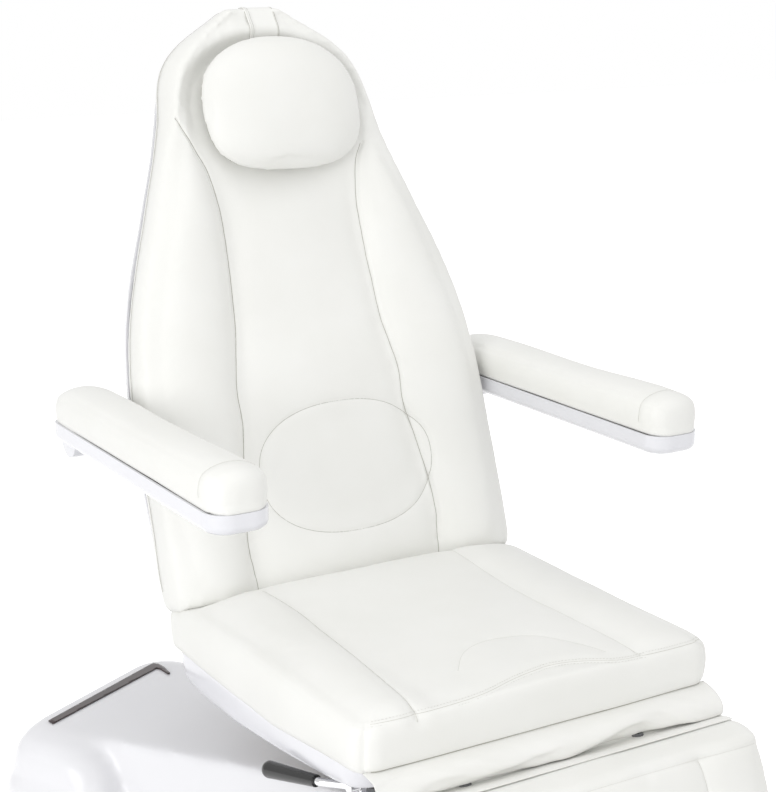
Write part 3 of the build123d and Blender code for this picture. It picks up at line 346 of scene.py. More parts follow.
def smooth(obj, repeats, weights=None):
    """Even out the surface, by a weight at each point where one is given."""
    modifier = obj.modifiers.new("even_out", "SMOOTH")
    modifier.factor = 0.5
    modifier.iterations = repeats
    if weights is not None:
        group = obj.vertex_groups.new(name="even_out")
        for k, weight in enumerate(weights):
            group.add([k], float(weight), "REPLACE")
        modifier.vertex_group = group.name
    apply_modifiers(obj)
    obj.vertex_groups.clear()


def points_of(obj):
    """The piece's points as an array."""
    flat = np.empty(len(obj.data.vertices) * 3, np.float64)
    obj.data.vertices.foreach_get("co", flat)
    return flat.reshape(-1, 3)


def normals_of(obj):
    """The piece's point normals as an array."""
    flat = np.empty(len(obj.data.vertices) * 3, np.float32)
    obj.data.vertex_normals.foreach_get("vector", flat)
    return flat.reshape(-1, 3).astype(np.float64)


def set_points(obj, points):
    """Move the piece's points."""
    obj.data.vertices.foreach_set("co", points.astype(np.float32).ravel())
    obj.data.update()


def ramp(value, low, high):
    """A smooth step from 0 at low to 1 at high."""
    share = np.clip((value - low) / (high - low), 0, 1)
    return share * share * (3 - 2 * share)


def tree_of(obj):
    """A search tree of the piece's surface."""
    bm = bmesh.new()
    bm.from_mesh(obj.data)
    tree = BVHTree.FromBMesh(bm)
    bm.free()
    return tree


def cast(tree, rays):
    """Where rays, each a start and a direction, meet a surface: the points and the normals there."""
    places, normals = [], []
    for start, aim in rays:
        hit, normal, _, _ = tree.ray_cast(start, aim)
        if hit is not None:
            places.append(hit)
            normals.append(normal)
    return np.array(places), np.array(normals)


def free_room(points, neighbours):
    """Half of each point's distance to the nearest neighbouring solid."""
    room = np.full(len(points), 1.0)
    for node in neighbours:
        tree = tree_of(nodes[node])
        for k, point in enumerate(points):
            hit, _, _, gap = tree.find_nearest(Vector(point), NEIGHBOUR_REACH)
            if hit is not None:
                room[k] = min(room[k], max(gap - NEIGHBOUR_GAP, 0.0) / 2)
    return room


def inflate(obj, cap, neighbours):
    """Blow the cover up like stuffed cloth: outward only, by no more than the cap or the room beside it."""
    start, normals = points_of(obj), normals_of(obj)
    limit = np.minimum(cap, free_room(start, neighbours))
    cloth = obj.modifiers.new("stuffing", "CLOTH")
    settings = cloth.settings
    settings.quality = 4
    settings.mass = CLOTH_MASS
    settings.tension_stiffness = CLOTH_STIFFNESS
    settings.compression_stiffness = CLOTH_STIFFNESS
    settings.bending_stiffness = CLOTH_BENDING
    settings.use_pressure = True
    settings.uniform_pressure_force = CLOTH_PRESSURE
    settings.effector_weights.gravity = 0
    cloth.point_cache.frame_start = 1
    cloth.point_cache.frame_end = CLOTH_STEPS
    scene = bpy.context.scene
    for step in range(1, CLOTH_STEPS + 1):
        scene.frame_set(step)
    graph = bpy.context.evaluated_depsgraph_get()
    blown = bpy.data.meshes.new_from_object(obj.evaluated_get(graph))
    flat = np.empty(len(blown.vertices) * 3, np.float64)
    blown.vertices.foreach_get("co", flat)
    moved = flat.reshape(-1, 3) - start
    inward = np.minimum((moved * normals).sum(axis=1), 0.0)
    moved -= normals * inward[:, None]
    reach = np.linalg.norm(moved, axis=1)
    moved *= (np.minimum(reach, limit) / np.maximum(reach, 1e-9))[:, None]
    obj.modifiers.clear()
    bpy.data.meshes.remove(blown)
    scene.frame_set(1)
    set_points(obj, start + moved)


# Sewn lines

def run_along(line):
    """How far along a line each of its points lies."""
    return np.concatenate([[0], np.cumsum(np.linalg.norm(np.diff(line, axis=0), axis=1))])


def smooth_line(points, count=240):
    """A smooth line through points, evenly spaced."""
    control = np.asarray(points, float)
    padded = np.vstack([2 * control[0] - control[1], control, 2 * control[-1] - control[-2]])
    out = []
    steps = max(2, count // (len(control) - 1))
    for i in range(len(control) - 1):
        p0, p1, p2, p3 = padded[i:i + 4]
        for t in np.linspace(0, 1, steps, endpoint=False):
            out.append(0.5 * (2 * p1 + (p2 - p0) * t + (2 * p0 - 5 * p1 + 4 * p2 - p3) * t * t
                              + (3 * p1 - p0 - 3 * p2 + p3) * t ** 3))
    out.append(control[-1])
    out = np.array(out)
    length = run_along(out)
    even = np.linspace(0, length[-1], count)
    return np.stack([np.interp(even, length, out[:, k]) for k in range(out.shape[1])], axis=1)


def oval_line(centre, half_across, half_along, squareness=0.86, count=300):
    """A closed oval with slightly squared shoulders."""
    angle = np.linspace(0, 2 * math.pi, count)
    across = np.sign(np.cos(angle)) * np.abs(np.cos(angle)) ** squareness
    along = np.sign(np.sin(angle)) * np.abs(np.sin(angle)) ** squareness
    return np.stack([centre[0] + half_across * across, centre[1] + half_along * along], axis=1)


def laid_on(obj, slab, line, sight=None):
    """A flat line dropped onto the face of a cushion, or seen along a sight: its points and normals."""
    aim = Vector(-slab.out if sight is None else sight)
    return cast(tree_of(obj), [(Vector(slab.world(across, along, 0.0)) - aim * RAY_START, aim)
                               for across, along in line])


def near_line(points, line, reach):
    """For points near a line: which ones, how far off, and how far along it they are."""
    low, high = line.min(0) - reach, line.max(0) + reach
    near = np.nonzero(np.all((points > low) & (points < high), axis=1))[0]
    gaps = np.full(len(near), reach)
    along = np.zeros(len(near))
    run = run_along(line)
    batch = 20000
    for first in range(0, len(near), batch):
        some = points[near[first:first + batch]]
        apart = np.linalg.norm(some[:, None, :] - line[None, :, :], axis=2)
        best = apart.argmin(1)
        gaps[first:first + batch] = apart[np.arange(len(some)), best]
        along[first:first + batch] = run[best]
    keep = gaps < reach
    return near[keep], gaps[keep], along[keep]


def sew(obj, line, depth=2.6 * MM, width=3.2 * MM, pull=2.0 * MM, pull_width=16 * MM, pucker=0.35 * MM,
        seed=0.0, fade=0.0):
    """Draw the cover down along a sewn line, with a soft pull and small puckers beside it."""
    points, normals = points_of(obj), normals_of(obj)
    near, gap, along = near_line(points, line, 3 * pull_width)
    drop = depth * np.exp(-(gap / width) ** 2) + pull * np.exp(-(gap / pull_width) ** 2)
    wave = np.sin(along / (9 * MM) + 2.2 * np.sin(along / (41 * MM) + seed) + seed)
    beside = np.exp(-(gap / (0.8 * pull_width)) ** 2) * (1 - np.exp(-(gap / width) ** 2))
    if fade:
        drop *= 0.3 + 0.7 * ramp(along, 0.0, fade)
    points[near] -= normals[near] * (drop - pucker * wave * beside)[:, None]
    set_points(obj, points)


def stitches(name, line, normals, body, length=3.6 * MM, pitch=5.2 * MM, radius=0.42 * MM, side=0.0):
    """A row of thread stitches beside or along a line, as one piece."""
    run = run_along(line)
    bm = bmesh.new()
    for k in range(int(run[-1] / pitch)):
        middle = (k + 0.5) * pitch
        ends = [np.array([np.interp(middle + shift, run, line[:, i]) for i in range(3)])
                for shift in (-length / 2, length / 2)]
        normal = np.array([np.interp(middle, run, normals[:, i]) for i in range(3)])
        normal /= np.linalg.norm(normal)
        direction = ends[1] - ends[0]
        direction /= max(np.linalg.norm(direction), 1e-9)
        beside = np.cross(direction, normal)
        centre = (ends[0] + ends[1]) / 2 + beside * side + normal * radius * 0.35
        made = bmesh.ops.create_icosphere(bm, subdivisions=1, radius=1.0)
        basis = Matrix((direction * length / 2, beside * radius, normal * radius)).transposed().to_4x4()
        basis.translation = Vector(centre)
        bmesh.ops.transform(bm, matrix=basis, verts=made["verts"])
    mesh = bpy.data.meshes.new(name)
    bm.to_mesh(mesh)
    bm.free()
    obj = add_object(name, mesh, THREAD)
    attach(obj, body)


def shade_strip(name, line, normals, body, radius, material=SEAM_SHADE):
    """A thin half-round strip in a painted-shade colour, laid at the bottom of a sewn line or along an edge."""
    along = np.gradient(line, axis=0)
    along /= np.maximum(np.linalg.norm(along, axis=1), 1e-9)[:, None]
    beside = np.cross(along, normals)
    beside /= np.maximum(np.linalg.norm(beside, axis=1), 1e-9)[:, None]
    sides = 6
    verts, faces = [], []
    for place, normal, side in zip(line, normals, beside):
        for turn in np.linspace(0, 2 * math.pi, sides, endpoint=False):
            verts.append(tuple(place + side * radius * math.cos(turn) + normal * radius * 0.6 * math.sin(turn)))
    for i in range(len(line) - 1):
        for j in range(sides):
            a, b = i * sides + j, i * sides + (j + 1) % sides
            faces.append((a, b, b + sides, a + sides))
    last = (len(line) - 1) * sides
    faces.append(tuple(range(sides))[::-1])
    faces.append(tuple(range(last, last + sides)))
    obj = piece_of(name, verts, faces, material)
    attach(obj, body)


def pressed_seam(obj, slab, route, body, name, depth, pull, pull_width=16 * MM, fold=0.55 * MM, closed=False,
                 material=SEAM_SHADE, fade=0.0):
    """Sew a line into a cushion's face and lay a strip of painted shade in it; fold is that strip's radius."""
    flat = np.asarray(route) if closed else smooth_line(route, 360)
    line, _ = laid_on(obj, slab, flat)
    sew(obj, line, depth=depth, pull=pull, pull_width=pull_width, seed=sum(map(ord, name)) * 0.37, fade=fade)
    line, normals = laid_on(obj, slab, flat)
    shade_strip(name, line, normals, body, fold, material)


def ripple(obj, scale, height, stretch=(1, 1, 1), seed=0.0):
    """Soft unevenness of a stuffed cover, by noise fixed to the piece."""
    points, normals = points_of(obj), normals_of(obj)
    stretched = points * np.array(stretch) * scale + seed
    moves = np.array([noise.noise(Vector(p)) for p in stretched]) * height
    set_points(obj, points + normals * moves[:, None])


def take_place(obj, body, node):
    """Say what a piece rides on and which solid it replaces."""
    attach(obj, body)
    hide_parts(node)


def settle(obj, body, node):
    """Say what a finished cushion rides on and which solid it replaces."""
    take_place(obj, body, node)


def soft_copy(node, name, voxel, cap, levels, neighbours, widen=1.0, even=0):
    """A cushion from its solid: even mesh, stuffed by simulation, then made finer."""
    obj = copy_of(node, name, LEATHER)
    remesh(obj, voxel)
    set_points(obj, points_of(obj) * (widen, 1.0, 1.0))
    if even:
        smooth(obj, even)
    inflate(obj, cap, neighbours)
    subdivide(obj, levels)
    return obj


# Cushions

SEAT_LEFT_SEAM = ((-0.191, 0.205), (-0.180, 0.140), (-0.175, 0.085), (-0.180, 0.000), (-0.187, -0.071),
                  (-0.200, -0.190), (-0.214, -0.300))
SEAT_RIGHT_SEAM = ((0.172, 0.215), (0.170, 0.100), (0.168, -0.020), (0.170, -0.150), (0.172, -0.292))
SEAT_FRONT_SEAM = ((-0.292, -0.306), (-0.214, -0.308), (-0.150, -0.304), (-0.112, -0.297), (-0.082, -0.288),
                   (-0.027, -0.268), (0.035, -0.257), (0.078, -0.268), (0.112, -0.290), (0.140, -0.303),
                   (0.210, -0.309), (0.290, -0.307))
SEAT_ARC_SEAM = ((-0.093, -0.214), (-0.055, -0.169), (-0.012, -0.147), (0.035, -0.148), (0.079, -0.166),
                 (0.117, -0.225), (0.132, -0.262))
SEAT_SIDE_EDGE = ((-0.314, 0.5290), (-0.240, 0.5230), (-0.153, 0.5150), (-0.051, 0.5050), (0.074, 0.5040),
                  (0.150, 0.5070), (0.219, 0.5110), (0.301, 0.5140))
PAN_LOW_EDGE = ((-0.303, 0.4990), (-0.199, 0.4820), (-0.068, 0.4650), (0.093, 0.4500), (0.200, 0.4490),
                (0.250, 0.4550), (0.285, 0.4680), (0.302, 0.4840))


# How the seat cushion departs from its solid: amounts, and the places between which each sets in
SEAT_WIDENING = 1.022
SEAT_HALF = 0.312
SEAT_CORNER = 0.042
REAR_WIDENING = 0.016
REAR_WIDENING_ALONG = (0.020, 0.260)
REAR_RISE = 0.011
REAR_RISE_ALONG = (0.020, 0.235)
REAR_RISE_ACROSS = (0.190, 0.305)
REAR_RISE_UP = (SEAT_BASE + 0.020, SEAT_BASE + 0.060)
REAR_CORNER_SHIFT = 0.012
REAR_CORNER_ALONG = (0.180, 0.275)
REAR_CORNER_ACROSS = (0.270, 0.300)
SIDE_ACROSS = (0.262, 0.292)
LOW_EDGE_UP = (SEAT_BASE, SEAT_BASE + 0.034)
FRONT_SAG = 0.006
FRONT_ALONG = (0.285, 0.305)
FRONT_ACROSS = (0.10, 0.27)
HEM_HALF = 0.285
HEM_HEIGHT = SEAT_BASE + 0.0035
STITCH_ASIDE = 4.2 * MM


def read_line(pairs, value):
    """The second number of the pairs where the first has a value."""
    table = np.array(pairs)
    return np.interp(value, table[:, 0], table[:, 1])


def round_corners(points, half, front, radius):
    """Turn the seat's two square front corners into round ones, seen from above."""
    across = np.abs(points[:, 0]) - (half - radius)
    ahead = (front + radius) - points[:, 1]
    inside = (across > 0) & (ahead > 0)
    share = np.maximum(across, ahead) / np.maximum(np.hypot(across, ahead), 1e-9)
    moved = points.copy()
    moved[inside, 0] = (np.sign(points[:, 0]) * (half - radius + across * share))[inside]
    moved[inside, 1] = (front + radius - ahead * share)[inside]
    return moved


def fit_seat(points):
    """Widen the seat to its rear and raise it there, round its front corners and let its sides hang."""
    points[:, 0] *= 1 + REAR_WIDENING * ramp(points[:, 1], *REAR_WIDENING_ALONG)
    points = round_corners(points, SEAT_HALF, SEAT_FRONT, SEAT_CORNER)
    across = np.abs(points[:, 0])
    points[:, 2] += (REAR_RISE * ramp(points[:, 1], *REAR_RISE_ALONG) * (1 - ramp(across, *REAR_RISE_ACROSS))
                     * ramp(points[:, 2], *REAR_RISE_UP))
    points[:, 1] += (REAR_CORNER_SHIFT * ramp(points[:, 1], *REAR_CORNER_ALONG)
                     * ramp(across, *REAR_CORNER_ACROSS))
    low = 1 - ramp(points[:, 2], *LOW_EDGE_UP)
    edge = SEAT_BASE - read_line(SEAT_SIDE_EDGE, points[:, 1])
    points[:, 2] -= edge * ramp(across, *SIDE_ACROSS) * low
    front = ramp(-points[:, 1], *FRONT_ALONG) * (1 - ramp(across, *FRONT_ACROSS))
    points[:, 2] -= FRONT_SAG * front * low
    return points


def build_seat():
    """The seat cushion, with two bolster seams, an arc and a waved double-sewn front seam."""
    obj = soft_copy("seat_cushion", "seat_cushion_cover", SLAB_VOXEL, SLAB_CAP, 2,
                    ("back_cushion",), widen=SEAT_WIDENING)
    set_points(obj, fit_seat(points_of(obj)))
    ripple(obj, 7.0, 1.4 * MM, seed=3.1)
    ripple(obj, 26.0, 0.4 * MM, (1.0, 0.6, 1.0), 8.7)
    # The last number of each seam is the radius of its strip of painted shade.
    for name, route, depth, pull, fold in (("left", SEAT_LEFT_SEAM, 2.2, 2.8, 0.4),
                                           ("right", SEAT_RIGHT_SEAM, 0.8, 0.6, 0.3),
                                           ("arc", SEAT_ARC_SEAM, 0.7, 1.2, 0.25)):
        pressed_seam(obj, seat_slab, route, "seat", "seat_seam_" + name, depth=depth * MM, pull=pull * MM,
                     fold=fold * MM, material=SOFT_SEAM_SHADE)
    front_line = smooth_line(SEAT_FRONT_SEAM, 420)
    line, _ = laid_on(obj, seat_slab, front_line, sight=SIGHT)
    sew(obj, line, depth=1.4 * MM, pull=1.6 * MM, seed=4.2)
    line, normals = laid_on(obj, seat_slab, front_line, sight=SIGHT)
    shade_strip("seat_seam_front", line, normals, "seat", 0.4 * MM, SOFT_SEAM_SHADE)
    # Painted shadow: a dark strip along the seat's lower edge, where the cover meets the skirt.
    hem = cast(tree_of(obj), [(Vector((across, -2 * RAY_START, HEM_HEIGHT)), Vector((0, 1, 0)))
                              for across in np.linspace(-HEM_HALF, HEM_HALF, 200)])
    shade_strip("seat_seam_hem", *hem, "seat", 0.9 * MM)
    for number, side in enumerate((-STITCH_ASIDE, STITCH_ASIDE)):
        stitches("seat_front_stitch_%d" % number, line, normals, "seat", side=side)
    settle(obj, "seat", "seat_cushion")


BACK_SEAM = ((0.172, -0.008), (0.175, 0.030), (0.178, 0.070), (0.172, 0.135), (0.161, 0.205), (0.152, 0.260),
             (0.153, 0.315), (0.145, 0.364), (0.136, 0.413), (0.132, 0.470), (0.129, 0.520), (0.128, 0.594),
             (0.131, 0.630), (0.140, 0.677), (0.154, 0.707), (0.170, 0.740), (0.183, 0.766))
HEAD_WIDENING = ((-0.015, 1.030), (0.030, 1.026), (0.110, 1.008), (0.200, 1.0), (0.780, 1.0), (0.815, 1.040),
                 (0.850, 1.072), (0.880, 1.086), (0.902, 1.078), (0.925, 1.055), (0.945, 1.0), (0.958, 0.95))
LUMBAR_MIDDLE = (0.0225, 0.168)
LUMBAR_HALVES = (0.1610, 0.1080)
BAND_OUT = -0.036
BAND_LOW = 0.020
BAND_TOP = 0.790
FRONT_SHARE = 0.25
HEAD_ONLY_ABOVE = 0.5
REAR_DEPTH = (-0.005, 0.045)
ARCH_ALONG = (0.740, 0.820)

# The pocket for the pillow: an oval on the face, with depths and shares of the oval's size
HEAD_MIDDLE = 0.775
HEAD_HALF_ACROSS = 0.150
HEAD_HALF_UP = 0.112
HEAD_ALONG = (0.690, 0.800)
HEAD_FACING = (0.1, 0.7)
POCKET_DEPTH = 0.011
POCKET_EDGE = (0.97, 1.19)
RIM_HEIGHT = 0.006
RIM_PLACE = 1.24
RIM_SPREAD = 0.11


def round_head(points):
    """Widen the head, mostly at its rear, and square the foot of the back."""
    local = back_slab.local(points)
    behind = FRONT_SHARE + (1 - FRONT_SHARE) * ramp(-local[:, 2], *REAR_DEPTH)
    behind = np.where(local[:, 1] < HEAD_ONLY_ABOVE, 1.0, behind)
    wider = 1 + (read_line(HEAD_WIDENING, local[:, 1]) - 1) * behind
    return points + back_slab.across * (local[:, 0] * (wider - 1))[:, None]


def head_pocket(points, normals):
    """Press a pocket round the pillow into the face, inside a raised rim."""
    local = back_slab.local(points)
    facing = ramp(normals @ back_slab.out, *HEAD_FACING)
    head = np.hypot(local[:, 0] / HEAD_HALF_ACROSS, (local[:, 1] - HEAD_MIDDLE) / HEAD_HALF_UP)
    upper = ramp(local[:, 1], *HEAD_ALONG)
    pocket = POCKET_DEPTH * (1 - ramp(head, *POCKET_EDGE)) * upper
    rim = RIM_HEIGHT * np.exp(-((head - RIM_PLACE) / RIM_SPREAD) ** 2) * upper
    return points + back_slab.out * ((rim - pocket) * facing)[:, None]


def build_back():
    """The back cushion: raised bolsters, a sunk middle, a lumbar oval and a pocket for the head."""
    obj = copy_of("back_cushion", "back_cushion_cover", LEATHER)
    remesh(obj, SLAB_VOXEL)
    set_points(obj, round_head(points_of(obj)))
    arch = FRONT_SHARE + (1 - FRONT_SHARE) * ramp(back_slab.local(points_of(obj))[:, 1], *ARCH_ALONG)
    smooth(obj, 16, arch)
    inflate(obj, SLAB_CAP, ("seat_cushion", "back_shell"))
    subdivide(obj, 2)
    set_points(obj, head_pocket(points_of(obj), normals_of(obj)))
    ripple(obj, 6.0, 1.5 * MM, seed=1.3)
    ripple(obj, 22.0, 0.4 * MM, (1.0, 0.7, 0.7), 5.1)
    # Each seam, and the lumbar oval, gets a strip of painted shade.
    for name, side in (("left", 1), ("right", -1)):
        route = [(across * side, along) for across, along in BACK_SEAM]
        route = route if side < 0 else route[:-2]
        pressed_seam(obj, back_slab, route, "backrest", "back_seam_" + name, depth=2.6 * MM, pull=4.2 * MM,
                     pull_width=22 * MM, fold=0.65 * MM, fade=0.05)
    oval = oval_line(LUMBAR_MIDDLE, *LUMBAR_HALVES)
    pressed_seam(obj, back_slab, oval, "backrest", "back_seam_oval", depth=1.6 * MM, pull=1.6 * MM,
                 pull_width=11 * MM, fold=0.42 * MM, closed=True)
    band_seams(obj)
    settle(obj, "backrest", "back_cushion")
    return obj


def band_seams(obj):
    """The seam of the boxing band along both edges and over the head, with a strip of painted shade in it."""
    edge = np.linspace(BAND_LOW, BAND_TOP, 110)
    aims = [(1, 0, along) for along in edge]
    aims += [(math.cos(turn), math.sin(turn), BAND_TOP) for turn in np.linspace(0, math.pi, 150)[1:-1]]
    aims += [(-1, 0, along) for along in edge[::-1]]
    rays = []
    for across, up, along in aims:
        outward = Vector(back_slab.across * across + back_slab.along * up)
        rays.append((Vector(back_slab.world(0.0, along, BAND_OUT)) + outward * 2 * RAY_START, -outward))
    line, normals = cast(tree_of(obj), rays)
    sew(obj, line, depth=1.2 * MM, pull=0.8 * MM, pull_width=9 * MM, pucker=0.2 * MM)
    shade_strip("back_seam_band", line, normals, "backrest", 0.5 * MM)


LEG_WIDENING = 1.034
# Each seam: its name, the radius of its strip of painted shade, and its route.
LEG_SEAMS = (
    ("top", 0.15, ((-0.292, 0.064), (-0.10, 0.061), (0.10, 0.061), (0.292, 0.064))),
    ("left", 0.35, ((0.184, 0.064), (0.183, 0.200), (0.179, 0.330), (0.172, 0.452))),
    ("right", 0.35, ((-0.184, 0.064), (-0.183, 0.200), (-0.179, 0.330), (-0.172, 0.452))),
    ("foot", 0.35, ((-0.262, 0.446), (-0.10, 0.449), (0.10, 0.449), (0.262, 0.446))),
)


def build_leg():
    """The leg cushion with its border seams."""
    obj = soft_copy("leg_cushion", "leg_cushion_cover", SLAB_VOXEL, SLAB_CAP, 2, ("leg_pan",),
                    widen=LEG_WIDENING)
    ripple(obj, 7.0, 1.6 * MM, seed=6.4)
    ripple(obj, 24.0, 0.5 * MM, seed=2.2)
    for name, fold, route in LEG_SEAMS:
        pressed_seam(obj, leg_slab, route, "leg_rest", "leg_seam_" + name, depth=1.8 * MM, pull=1.6 * MM,
                     fold=fold * MM, material=SOFT_SEAM_SHADE)
    settle(obj, "leg_rest", "leg_cushion")


PILLOW_MIDDLE = 0.779
PILLOW_HALF_ACROSS = 0.145
PILLOW_HALF_UP = 0.113
PILLOW_ACROSS = 0.006
PILLOW_SEAM_OUT = 0.020
PILLOW_FRONT = 0.050
PILLOW_REAR = 0.032
PILLOW_DOME_POWERS = (2.6, 0.62)
PILLOW_RIM_POWERS = (2.25, 3.1)
PILLOW_VOXEL = 0.006
PILLOW_CAP = 0.004
PILLOW_RIM_BACK = 0.006


def pillow_outline(turn):
    """The pillow's rim at an angle: an oval, squarer below than above."""
    above, below = PILLOW_RIM_POWERS
    power = above if math.sin(turn) > 0 else below
    across, up = abs(math.cos(turn)), abs(math.sin(turn))
    reach = (across ** power + up ** power) ** (-1 / power)
    return PILLOW_HALF_ACROSS * reach * math.cos(turn), PILLOW_HALF_UP * reach * math.sin(turn)


def pillow_shape(turns=96, rings=14):
    """A closed oval pad from rings round its middle, front and rear: its points and faces."""
    verts, faces = [], []
    inner, outer = PILLOW_DOME_POWERS
    for front in (True, False):
        height = PILLOW_FRONT if front else -PILLOW_REAR
        for ring in range(1, rings + 1):
            share = math.sin(0.5 * math.pi * ring / rings)
            dome = (1 - share ** inner) ** outer
            if not front and ring == rings:
                continue
            for step in range(turns):
                across, up = pillow_outline(2 * math.pi * step / turns)
                verts.append(back_slab.world(PILLOW_ACROSS + across * share, PILLOW_MIDDLE + up * share,
                                             PILLOW_SEAM_OUT + height * dome))
    rear_start = turns * rings
    last_rear = rear_start + turns * (rings - 1)
    centres = (len(verts), len(verts) + 1)
    verts.append(back_slab.world(PILLOW_ACROSS, PILLOW_MIDDLE, PILLOW_SEAM_OUT + PILLOW_FRONT))
    verts.append(back_slab.world(PILLOW_ACROSS, PILLOW_MIDDLE, PILLOW_SEAM_OUT - PILLOW_REAR))
    for step in range(turns):
        after = (step + 1) % turns
        faces.append((centres[0], step, after))
        faces.append((centres[1], rear_start + after, rear_start + step))
        for ring in range(rings - 1):
            low, high = ring * turns, (ring + 1) * turns
            faces.append((low + step, high + step, high + after, low + after))
        for ring in range(rings - 2):
            low, high = rear_start + ring * turns, rear_start + (ring + 1) * turns
            faces.append((low + after, high + after, high + step, low + step))
        faces.append((last_rear - turns + after, turns * (rings - 1) + after, turns * (rings - 1) + step,
                      last_rear - turns + step))
    return verts, faces


def build_pillow():
    """The head pillow, plump and a little uneven, with a seam round its rim and a strip of painted shade in it.
    """
    obj = piece_of("headrest_pillow_cover", *pillow_shape(), LEATHER)
    remesh(obj, PILLOW_VOXEL)
    inflate(obj, PILLOW_CAP, ("back_cushion",))
    subdivide(obj, 1)
    ripple(obj, 9.0, 1.8 * MM, seed=2.9)
    ripple(obj, 30.0, 0.5 * MM, seed=7.7)
    rays = []
    for turn in np.linspace(0, 2 * math.pi, 361):
        across, up = pillow_outline(turn)
        outward = Vector(back_slab.across * across + back_slab.along * up).normalized()
        rim = back_slab.world(PILLOW_ACROSS + across, PILLOW_MIDDLE + up, PILLOW_SEAM_OUT - PILLOW_RIM_BACK)
        rays.append((Vector(rim) + outward * 0.1, -outward))
    line, normals = cast(tree_of(obj), rays)
    sew(obj, line, depth=1.4 * MM, pull=0.8 * MM, pull_width=8 * MM, pucker=0.4 * MM)
    shade_strip("pillow_seam_shade", line, normals, "backrest", 0.5 * MM)
    settle(obj, "backrest", "headrest_pillow")


ARM_VOXEL = 0.0045
ARM_CAP = 0.0035
ARM_HEM = (0.001, 0.014)
ARM_HEM_OUT = 0.0022
ARM_HEM_DROP = 0.0018
ARM_REAR_RISE = 0.008
ARM_REAR_ALONG = (0.120, 0.430)
ARM_RISE_ABOVE = 0.015
ARM_SEAM_BACK = 0.046
ARM_SEAM_UP = 0.012


def build_arm_pads():
    """Both arm pads, with a sewn line over the front end and a faint strip of painted shade in it."""
    for name, seed in (("left", 4.0), ("right", 9.0)):
        low, high = (np.array(corner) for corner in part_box("arm_pad_" + name))
        obj = soft_copy("arm_pad_" + name, "arm_pad_cover_" + name, ARM_VOXEL, ARM_CAP, 1,
                        ("arm_shell_" + name,), even=7)
        points, normals = points_of(obj), normals_of(obj)
        hem = 1 - ramp(points[:, 2], low[2] + ARM_HEM[0], low[2] + ARM_HEM[1])
        normals[:, 2] = 0
        points += normals * (ARM_HEM_OUT * hem)[:, None]
        points[:, 2] -= ARM_HEM_DROP * hem
        points[:, 2] += (ARM_REAR_RISE * ramp(points[:, 1], *ARM_REAR_ALONG)
                         * ramp(points[:, 2], low[2] + ARM_RISE_ABOVE, high[2]))
        set_points(obj, points)
        ripple(obj, 9.0, 0.9 * MM, seed=seed)
        middle = Vector(((low[0] + high[0]) / 2, low[1] + ARM_SEAM_BACK, low[2] + ARM_SEAM_UP))
        rays = []
        for turn in np.radians(np.linspace(-84, 84, 90)):
            outward = Vector((math.sin(turn), 0, math.cos(turn)))
            rays.append((middle + outward * RAY_START, -outward))
        line, normals = cast(tree_of(obj), rays)
        sew(obj, line, depth=0.5 * MM, pull=0.5 * MM, pull_width=8 * MM, pucker=0.2 * MM)
        shade_strip("arm_seam_%s_0" % name, line, normals, "armrest_" + name, 0.25 * MM, SOFT_SEAM_SHADE)
        settle(obj, "armrest_" + name, "arm_pad_" + name)


FLAP_PROFILE = ((-0.292, 0.5290), (-0.303, 0.5280), (-0.315, 0.5240), (-0.324, 0.5160), (-0.327, 0.5060),
                (-0.325, 0.4975), (-0.319, 0.4925), (-0.312, 0.4900), (-0.316, 0.4865), (-0.330, 0.4880),
                (-0.345, 0.4925), (-0.358, 0.4940))
FLAP_HALF = 0.2955
FLAP_SLACK_WIDTH = 0.62
FLAP_LOOSE_SHARE = 0.72
FLAP_THICKNESS = 0.0016


def build_flap():
    """The gusset from the seat to the leg rest: one loose roll with wrinkles over a tucked crease."""
    profile = smooth_line(FLAP_PROFILE, 56)
    columns, rows = 300, len(profile)
    verts = []
    for i in range(columns + 1):
        across = -FLAP_HALF + 2 * FLAP_HALF * i / columns
        for j, (y, z) in enumerate(profile):
            share = j / (rows - 1)
            loose = math.sin(math.pi * min(share / FLAP_LOOSE_SHARE, 1.0)) ** 0.8
            slack = 0.5 + 0.5 * math.cos(math.pi * across / FLAP_SLACK_WIDTH)
            wave = noise.noise(Vector((across * 5.5, 0.7, 2.4)))
            fold = noise.noise(Vector((across * 11 + share * 3.2, share * 4.5, 0.4)))
            fine = noise.noise(Vector((across * 30 - share * 6.0, share * 5.0, 5.1)))
            out = loose * (0.010 * slack + 0.008 * wave * slack + 0.0095 * fold + 0.0030 * fine)
            drop = loose * (0.008 * wave * slack + 0.007 * fold * ramp(share, 0.15, 0.35))
            verts.append((across, y - out, z - drop))
    obj = piece_of("front_flap_cover", verts, grid_faces(columns + 1, rows), LEATHER_WORN)
    thicken(obj, FLAP_THICKNESS, 0.0)
    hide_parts("front_flap")
    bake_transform(obj)


STRAP_MIDDLE = 0.010
STRAP_HALF = 0.0265
STRAP_THICKNESS = 0.0026
STRAP_UNDER = 0.0004
STRAP_WELT = 0.0016
STRAP_CORE = (0.895, -0.046)
STRAP_COLUMNS = (-1.0, -0.93, -0.86, -0.79, -0.72, -0.45, -0.15, 0.15, 0.45, 0.75, 0.93, 1.0)
STRAP_WELT_SHARES = (0.0, 0.9, 0.25, 0.9, 0.0, 0.05, 0.1, 0.1, 0.05, 0.0, 0.15, 0.0)


def strap_line(trees, across):
    """The way over the head at one place across: from under the pillow to behind the shell."""
    line = []
    core = back_slab.world(across, *STRAP_CORE)
    for turn in np.radians(np.linspace(-28, 205, 60)):
        outward = Vector(back_slab.out * math.cos(turn) + back_slab.along * math.sin(turn))
        start = Vector(core) + outward * 0.4
        hits = [tree.ray_cast(start, -outward) for tree in trees]
        reach = min(hit[3] for hit in hits if hit[0] is not None)
        line.append(start - outward * reach)
    line = np.array(line)
    for _ in range(6):
        line[1:-1] = (line[:-2] + 2 * line[1:-1] + line[2:]) / 4
    return line


